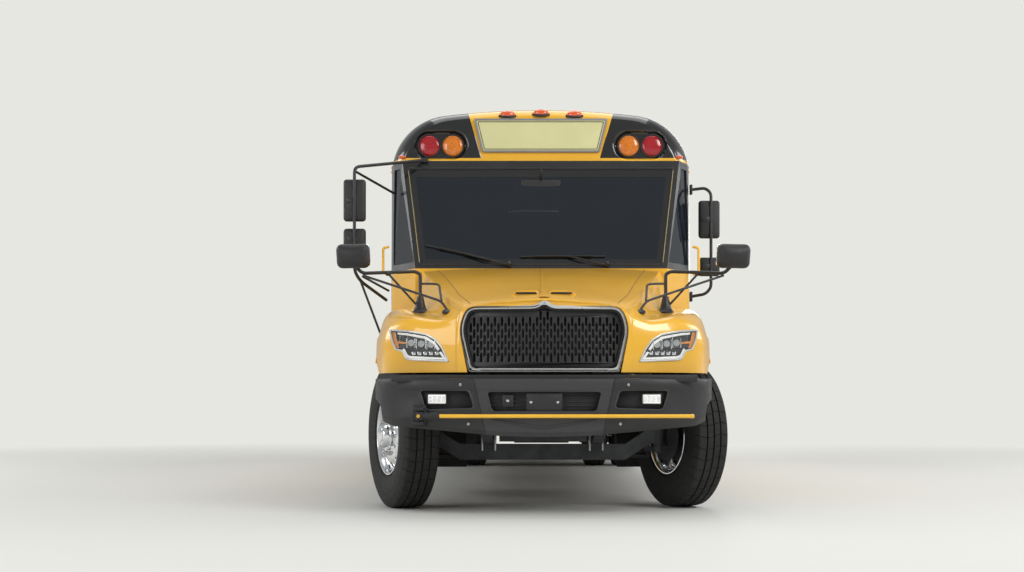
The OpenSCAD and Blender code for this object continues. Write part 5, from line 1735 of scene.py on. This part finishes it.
def build_windshield():
    low, high = node_box("windshield")
    station = front_finder("windshield")
    z0, z1 = low.z + .004, high.z - .004
    middle = (z0 + z1) / 2
    widths = []
    for z in steps_between(z0, z1, 16):
        x = high.x
        while station(x, z) is None:
            x -= .002
        widths.append((z, x - .002))

    def on_glass(x, z, ahead):
        """A point ahead of the glass, kept between its edges."""
        z = min(max(z, z0), z1)
        edge = straight_line(widths, z)
        x = max(-edge, min(edge, x))
        b = station(x, z) or station(x * .99, z) or station(x * .98, z)
        return at(x, b - ahead, z)
    gasket = Shape()
    whole = high.x
    xs = steps_between(-1, 1, 40)
    low_edge, high_edge = straight_line(widths, z0), straight_line(widths, z1)
    ring = [on_glass(x * low_edge, z0, .002) for x in xs] + [on_glass(whole, z, .002) for z in
                                                            steps_between(z0, z1, 8)[1:]]
    ring += [on_glass(x * high_edge, z1, .002) for x in reversed(xs[:-1])] + [on_glass(-whole, z, .002) for z in
                                                                             steps_between(z1, z0, 8)[1:]]
    gasket.tube(ring, .011, 10, .002)
    gasket.piece("windshield_gasket", "rubber", "chassis", "black_plastic", angle=60)
    frit = Shape()
    for za, zb in ((z0, z0 + .045), (z1 - .075, z1)):
        rows = [[frit.bm.verts.new(on_glass(x * straight_line(widths, z), z, .0015)) for x in xs] for z in (za, zb)]
        grid_faces(frit.bm, rows)
    for side in (-1, 1):
        rows = [[frit.bm.verts.new(on_glass(side * (straight_line(widths, z) - inward), z, .0015))
                 for inward in (.050, 0)] for z in steps_between(z0 + .045, z1 - .075, 6)]
        grid_faces(frit.bm, rows)
    mesh = thicken(to_mesh("frit", frit.bm), .001, 0.0)
    add_piece("windshield_band", mesh, "gloss_black", "chassis")
    trims = Shape()
    for side in (-1, 1):
        trims.tube([on_glass(side * whole, z, .014) for z in steps_between(z0 + .02, z1 - .02, 6)], .0030, 8, .01)
    trims.piece("pillar_trims", "brass_trim", "chassis", "bright_trim")
    wipers = Shape()
    for blade, arm in ((((-.908, 1.992), (-.291, 1.851)), ((-.600, 1.924), (-.250, 1.826))),
                       (((-.161, 1.898), (.499, 1.901)), ((.200, 1.905), (.515, 1.826)))):
        points = [on_glass(blade[0][0] + (blade[1][0] - blade[0][0]) * t, blade[0][1] + (blade[1][1] - blade[0][1]) * t,
                           .012) for t in steps_between(0, 1, 12)]
        wipers.tube(points, .0065, 8, .004)
        spine = [p + Vector((0, -.016, .004)) for p in points[2:-2]]
        wipers.tube(spine, .0050, 8, .004)
        points = [on_glass(arm[0][0] + (arm[1][0] - arm[0][0]) * t, arm[0][1] + (arm[1][1] - arm[0][1]) * t,
                           .030 + .012 * math.sin(math.pi * t)) for t in steps_between(0, 1, 8)]
        wipers.tube(points, .0070, 8, .004)
        wipers.lathe([(-.01, 0), (-.01, .018), (.020, .016), (.026, .010), (.026, 0)],
                     on_glass(arm[1][0], 1.832, .022), (0, -.6, .8), 20)
    wipers.piece("wipers", "satin_black", "chassis", "black_plastic", angle=40)
    handles = Shape()
    for side in (-1, 1):
        handles.tube([at(side * (HALF_W - .015), 2.02, 1.775), at(side * (HALF_W + .030), 2.00, 1.785),
                      at(side * (HALF_W + .030), 2.00, 1.985), at(side * (HALF_W - .015), 2.02, 1.995)], .0105, 14, .03)
    handles.piece("grab_handles", "arm_yellow", "chassis", "arm_yellow", angle=50)
    inner = Shape()
    inner.rod(at(0, station(0, middle) + .03, 2.60), at(0, station(0, middle) + .10, 2.52), .010, 12, .003)
    padded_box(inner, at(-.16, station(0, middle) + .085, 2.43), at(.16, station(0, middle) + .115, 2.53), .014, .002)
    inner.piece("inside_mirror", "moulded_black", "chassis", "black_plastic", angle=50)


# ---------------------------------------------------------------- sides

def frame_on_wall(name, side, box, split, width=.030, proud=.014, radius=.045):
    """A black frame with one or two openings round a pane in a side wall."""
    low, high = box
    b0, b1, z0, z1 = low.y - FRONT, high.y - FRONT, low.z, high.z
    outer = box_outline(b0, b1, z0, z1, .003, radius)
    if split is None:
        openings = [(b0 + width, b1 - width, z0 + width, z1 - width)]
    elif split == "b":
        middle = (b0 + b1) / 2
        openings = [(b0 + width, middle - width / 2, z0 + width, z1 - width),
                    (middle + width / 2, b1 - width, z0 + width, z1 - width)]
    else:
        openings = [(b0 + width, b1 - width, z0 + width, split - width / 2),
                    (b0 + width, b1 - width, split + width / 2, z1 - width)]
    holes = [box_outline(*opening, radius=radius * .7) for opening in openings]
    plane = (low.x + high.x) / 2
    return sheet_mesh(name, outer, holes, .026, lambda u, v, w: at(plane + side * (proud - .008 + w), u, v), .003)


RAIL_SECTION = [(-.004, -.045), (.006, -.045), (.010, -.041), (.010, -.033), (.004, -.027), (.004, -.011),
                (.010, -.006), (.010, .006), (.004, .011), (.004, .027), (.010, .033), (.010, .041), (.006, .045),
                (-.004, .045)]
DOOR_END = node_box("entry_door_rear_leaf")[1].y - FRONT
RIVET = [(-.002, .006), (.0015, .0045), (.0025, 0)]
SEAM_HALF = .0015


def upright_seam(shape, side, b, low_z, high_z):
    """A narrow dark line up the side wall."""
    x = side * HALF_W
    shape.block(at(x - SEAM_HALF, b - SEAM_HALF, low_z), at(x + SEAM_HALF, b + SEAM_HALF, high_z), .0005, 1)


def build_sides():
    frames = bmesh.new()
    panes = [box for box in loose_boxes("body_windows") if (box[1] - box[0]).x < .05]
    for low, high in panes:
        side = 1 if low.x > 0 else -1
        driver = low.z < 1.80
        split = "b" if driver else low.z + (high.z - low.z) * .52
        frames.from_mesh(frame_on_wall("sash", side, (low, high), split))
    add_piece("window_sashes", to_mesh("window_sashes", frames), "satin_black", "chassis", angle=40)
    latches, rails, tape, rivets, seams = Shape(), Shape(), Shape(), Shape(), Shape()
    for low, high in panes:
        side = 1 if low.x > 0 else -1
        z = low.z + (high.z - low.z) * .52
        if low.z > 1.80:
            for b in (low.y - FRONT + .09, high.y - FRONT - .09):
                latches.block(at(side * (HALF_W - .046), b - .020, z - .008),
                              at(side * (HALF_W - .030), b + .020, z + .008), .003)
        post = low.y - FRONT - .037
        for k in range(6):
            rivets.lathe(RIVET, at(side * HALF_W, post, 1.265 + .065 * k), (side, 0, 0), 8)
        upright_seam(seams, side, post, 1.26, 1.66)
    latches.piece("sash_latches", "grey_plastic", "chassis", "black_plastic")
    for side in (-1, 1):
        start = SIDE_START + .03 if side > 0 else DOOR_END + .05
        for z in (1.715, 1.415, 1.205, .640):
            spans = [(start, REAR_END - .045)]
            if z < 1.0:
                spans = [(start, AXLE_R - ARCH_R - .05), (AXLE_R + ARCH_R + .05, REAR_END - .045)]
            for b0, b1 in spans:
                rails.polygon_solid(RAIL_SECTION, lambda u, v, w, side=side, z=z: at(side * (HALF_W + u), w, z + v),
                                    b0, b1)
        for z, b0, b1 in ((1.120, start, AXLE_R - ARCH_R - .08), (1.120, AXLE_R + ARCH_R + .08, REAR_END - .045)):
            tape.block(at(side * HALF_W - .001, b0, z - .022), at(side * HALF_W + .0016, b1, z + .022), .0005, 1)
        arc = [at(side * (HALF_W + .003), AXLE_R + (ARCH_R + .006) * math.cos(math.radians(a)),
                  TYRE_R + (ARCH_R + .006) * math.sin(math.radians(a))) for a in range(4, 177, 4)]
        seams.index = 1
        seams.tube(arc, .012, 10, .002)
        seams.index = 0
        drip = [at(side * (HALF_W + .002), b, 2.655) for b in steps_between(SIDE_START + .02, REAR_END - .02, 6)]
        seams.index = 2
        seams.tube(drip, .009, 8, .002)
        seams.index = 0
        b = start + .10
        while b < REAR_END - .08:
            if abs(b - AXLE_R) > ARCH_R + .08:
                for z in (.600, 1.155):
                    rivets.lathe(RIVET, at(side * HALF_W, b, z), (side, 0, 0), 8)
            b += .16
        for b in (4.55, 6.10, 7.15, 9.35, 10.40):
            upright_seam(seams, side, b, SKIRT_Z + .01, 1.155)
    rails.piece("rub_rails", "satin_black", "chassis", "black_plastic", angle=30)
    tape.piece("reflective_tape", "reflective_yellow", "chassis", "bright_trim")
    rivets.piece("side_rivets", "bus_yellow", "chassis", "bus_yellow")
    seams.piece("side_seams", ["seam_dark", "rubber", "bus_yellow"], "chassis", "black_plastic")
    markers = Shape()
    for side in (-1, 1):
        for b, index in ((SIDE_START + .14, 0), ((SIDE_START + REAR_END) / 2, 0), (REAR_END - .16, 1)):
            markers.index = 2
            x = side * (HALF_W - .010)
            markers.block(at(x - .012, b - .055, 2.682), at(x + .012, b + .055, 2.722), .006)
            markers.index = index
            x = side * (HALF_W + .002)
            markers.block(at(x - .012, b - .045, 2.687), at(x + .012, b + .045, 2.717), .008)
        markers.index = 2
        turn_lamp = at(side * HALF_W, SIDE_START + .45, .86)
        markers.lathe([(0, 0), (0, .042), (.006, .042), (.006, .036)], turn_lamp, (side, 0, 0), 30)
        markers.index = 0
        markers.lathe([(.004, .036), (.009, .034), (.011, .020), (.012, 0)], turn_lamp, (side, 0, 0), 30)
    markers.piece("side_markers", ["amber_lens", "red_lens", "moulded_black"], "chassis", "red_lens")
    door = Shape()
    tank = node_box("fuel_tank")
    b = (tank[0].y + tank[1].y) / 2 - FRONT
    door.block(at(-HALF_W - .004, b - .14, .80), at(-HALF_W + .004, b + .14, 1.06), .003)
    door.index = 1
    door.block(at(-HALF_W - .009, b - .145, .825), at(-HALF_W + .002, b - .125, .865), .003)
    door.block(at(-HALF_W - .009, b - .145, .995), at(-HALF_W + .002, b - .125, 1.035), .003)
    door.lathe([(0, .018), (.005, .017), (.007, .010), (.007, 0)], at(-HALF_W - .004, b + .105, .93), (-1, 0, 0), 24)
    for side, b in ((1, 4.95), (-1, 9.75), (1, 9.75)):
        door.index = 0
        door.block(at(side * HALF_W - .004, b - .33, .72), at(side * HALF_W + .004, b + .33, 1.07), .003)
        door.index = 1
        for dx in (-.22, .22):
            x = side * HALF_W
            door.block(at(x - .008, b + dx - .035, 1.052), at(x + .008, b + dx + .035, 1.078), .004)
        door.lathe([(0, .024), (.006, .023), (.008, .014), (.008, 0)], at(side * (HALF_W + .004), b, .80),
                   (side, 0, 0), 24)
    door.piece("access_doors", ["bus_yellow", "satin_black"], "chassis", "bus_yellow")


def build_doors():
    for end in ("front", "rear"):
        low, high = node_box("entry_door_%s_glass" % end)
        mesh = frame_on_wall("door_frame", -1, (low, high), low.z + (high.z - low.z) * .5, .026, .014, radius=.04)
        add_piece("entry_door_%s_frame" % end, mesh, "rubber", "entry_door_" + end, angle=40)
        leaf_low, leaf_high = node_box("entry_door_%s_leaf" % end)
        edge = leaf_high.y - FRONT - .012 if end == "front" else leaf_low.y - FRONT + .012
        seal = Shape()
        seal.rod(at(-1.214, edge, leaf_low.z + .02), at(-1.214, edge, leaf_high.z - .02), .010, 14, .003)
        seal.block(at(-1.222, low.y - FRONT + .01, leaf_low.z + .05),
                   at(-1.216, high.y - FRONT - .01, leaf_low.z + .22), .002)
        seal.piece("entry_door_%s_seal" % end, "rubber", "entry_door_" + end, "black_plastic", angle=40)
    low, high = node_box("stop_arm")
    radius = (high.z - low.z) / 2
    b, z = high.y - FRONT - radius, (high.z + low.z) / 2
    sign = Shape()

    def octagon(size):
        return [(b + size * math.cos(math.radians(22.5 + 45 * k)) / math.cos(math.radians(22.5)),
                 z + size * math.sin(math.radians(22.5 + 45 * k)) / math.cos(math.radians(22.5))) for k in range(8)]
    for x, toward in ((high.x, 1), (low.x, -1)):
        ring = sheet_mesh("stop_border", octagon(radius - .010), [octagon(radius - .024)], .0016,
                          lambda u, v, w, x=x: at(x + w, u, v))
        sign.bm.from_mesh(ring)
        if toward > 0:
            sign.index = 1
            for dz in (-.148, .148):
                sign.lathe([(0, .048), (.003, .048), (.003, .040)], at(x, b, z + dz), (toward, 0, 0), 36)
                sign.index = 2
                sign.lathe([(.002, .040), (.008, .037), (.013, .024), (.015, 0)], at(x, b, z + dz), (toward, 0, 0), 36)
                sign.index = 1
    sign.piece("stop_arm_border_and_lamps", ["white_plastic", "satin_black", "red_lens"], "stop_arm", "red_lens")


# ---------------------------------------------------------------- roof

def build_roof():
    bands = Shape()
    section = roof_section(2.66, 10, 40)
    b = SIDE_START + SEAT_PITCH / 2
    while b < REAR_END - .2:
        rows = []
        for db, lift in ((-.022, -.002), (-.016, .004), (.016, .004), (.022, -.002)):
            rows.append([bands.bm.verts.new(at(x * (1 + lift / HALF_W), b + db, z + lift)) for x, z in section])
        grid_faces(bands.bm, rows)
        b += SEAT_PITCH * 2
    bands.piece("roof_bands", "bus_yellow", "chassis", "bus_yellow", angle=30)
    for end in ("front", "rear"):
        low, high = node_box("roof_hatch_" + end)
        b0, b1 = low.y - FRONT, high.y - FRONT
        lid = Shape()
        lid.block(at(-.27, b0 + .06, high.z - .006), at(.27, b1 - .06, high.z - .0005), .005)
        for x in steps_between(-.20, .20, 4):
            lid.block(at(x - .012, b0 + .10, high.z - .004), at(x + .012, b1 - .10, high.z), .0018, 1)
        lid.index = 1
        lid.block(at(-.336, b0 + .004, low.z + .003), at(.336, b1 - .004, low.z + .012), .002)
        lid.piece("roof_hatch_%s_panel" % end, ["white_plastic", "rubber"], "roof_hatch_" + end, "black_plastic")


# ---------------------------------------------------------------- rear

def build_rear():
    face = REAR_END
    gaskets = bmesh.new()
    boxes = [box for box in loose_boxes("body_windows") if (box[1] - box[0]).y < .02]
    for low, high in boxes:
        outer = box_outline(low.x, high.x, low.z, high.z, .014, .05)
        inner = box_outline(low.x, high.x, low.z, high.z, -.012, .04)
        gaskets.from_mesh(sheet_mesh("gasket", outer, [inner], .030, lambda u, v, w: at(u, face - .008 + w, v), .004))
    add_piece("rear_window_gaskets", to_mesh("rear_window_gaskets", gaskets), "rubber", "chassis",
              angle=40)
    low, high = node_box("rear_door")
    frame_in = box_outline(low.x, high.x, low.z, high.z, .004)
    frame_out = box_outline(low.x, high.x, low.z, high.z, .030)
    mesh = sheet_mesh("door_seal", frame_out, [frame_in], .010, lambda u, v, w: at(u, face + .004 + w, v), .003)
    add_piece("rear_door_seal", mesh, "rubber", "chassis")
    panes = bmesh.new()
    for pane_low, pane_high in loose_boxes("rear_door_glass"):
        outer = box_outline(pane_low.x, pane_high.x, pane_low.z, pane_high.z, .012, .04)
        inner = box_outline(pane_low.x, pane_high.x, pane_low.z, pane_high.z, -.014, .03)
        panes.from_mesh(sheet_mesh("pane_gasket", outer, [inner], .016,
                                   lambda u, v, w: at(u, face - .004 + w, v), .003))
    add_piece("rear_door_gaskets", to_mesh("rear_door_gaskets", panes), "rubber", "rear_door")
    pin = joint_place("rear_door_hinge")[0]
    handle = Shape()
    handle.block(at(high.x - .105, face - .002, 1.80), at(high.x - .045, face + .010, 1.90), .004)
    handle.tube([at(high.x - .075, face + .008, 1.85), at(high.x - .075, face + .034, 1.85),
                 at(high.x - .22, face + .034, 1.85)], .0085, 12, .012)
    handle.index = 1
    for z in (1.30, 1.92, 2.50):
        handle.rod((pin.x, pin.y, z - .045), (pin.x, pin.y, z + .045), .0085, 24, .002)
    handle.piece("rear_door_handle", ["satin_black", "bus_yellow"], "rear_door", "black_plastic")
    plate = Shape()
    plate.block(at(-.92, face, .800), at(-.60, face + .006, .975), .004)
    plate.index = 1
    plate.block(at(-.905, face + .005, .812), at(-.615, face + .009, .963), .003)
    plate.index = 0
    plate.block(at(-.80, face, .985), at(-.72, face + .028, 1.010), .006)
    plate.piece("rear_plate_holder", ["satin_black", "white_plastic"], "chassis", "black_plastic")
    low, high = node_box("rear_bumper")
    bumper = Shape()
    profile = [(0, low.z), (.048, low.z), (.058, low.z + .012), (.058, low.z + .085), (.046, low.z + .100),
               (.046, high.z - .100), (.058, high.z - .085), (.058, high.z - .012), (.048, high.z), (0, high.z)]
    bumper.polygon_solid(profile, lambda u, v, w: at(w, face + .001 + u, v), low.x, high.x, .004)
    piece = bumper.piece("rear_bumper_beam", "bumper_dark", "chassis", "bumper_paint")
    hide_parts("rear_bumper")
    marks = Shape()
    for side in (-1, 1):
        marks.block(at(side * 1.19 - .012, face - .001, 1.15), at(side * 1.19 + .012, face + .002, 2.50), .0005, 1)
        marks.index = 1
        marks.lathe([(0, .038), (.006, .036), (.006, 0)], at(side * 1.08, face, 1.02), (0, 1, 0), 30)
        marks.index = 0
    marks.piece("rear_reflectors", ["reflective_yellow", "red_lens"], "chassis", "red_lens")


# ---------------------------------------------------------------- underneath

def build_underside():
    low, high = node_box("fuel_tank")
    straps = Shape()
    for b in (low.y - FRONT + .25, high.y - FRONT - .25):
        ring = box_outline(low.x + .008, high.x - .004, low.z + .014, high.z + .004, radius=.05)
        inner = inset_outline(ring, .004)
        straps.bm.from_mesh(sheet_mesh("strap", ring, [inner], .05, lambda u, v, w, b=b: at(u, b + w, v), .001))
    straps.piece("tank_straps", "bolt_steel", "chassis", "tank_metal")
    clamps = Shape()
    for spring_low, spring_high in loose_boxes("leaf_springs"):
        middle = (spring_low + spring_high) / 2
        axle = AXLE_F if middle.y - FRONT < 3 else AXLE_R
        for db in (-.055, .055):
            for x in (spring_low.x - .010, spring_high.x + .010):
                clamps.rod(at(x, axle + db, spring_low.z - .05), at(x, axle + db, spring_low.z + .14), .008, 10, .002)
        clamps.block(at(spring_low.x - .02, axle - .08, spring_low.z + .105),
                     at(spring_high.x + .02, axle + .08, spring_low.z + .118), .004)
    clamps.piece("spring_clamps", "bolt_steel", "chassis", "bare_metal")
    tanks = Shape()
    for b in (6.35, 6.75):
        tanks.lathe([(0, 0), (.004, .06), (.03, .105), (.06, .12), (.62, .12), (.65, .105), (.676, .06), (.68, 0)],
                    at(.08 - .34, b, .73), (1, 0, 0), 40)
    tanks.piece("air_tanks", "satin_black", "chassis", "frame_steel", angle=35)


# ---------------------------------------------------------------- the whole bus

make_camera()
make_materials()
make_studio()
finish_cad_nodes()
hood_height = surface_finder(build_hood())
build_hood_details(hood_height)
build_grille()
build_headlamps()
build_cap()
build_sign()
build_warning_lamps()
build_marker_lamps()
build_bumper()
build_crossing_arm()
for wheel_side, wheel_name in ((1, "left"), (-1, "right")):
    front_wheel(wheel_side, wheel_name)
    rear_wheels(wheel_side, wheel_name)
build_benches()
build_driver_place()
build_crossview_mirrors(hood_height)
build_side_mirrors()
build_windshield()
build_sides()
build_doors()
build_roof()
build_rear()
build_underside()
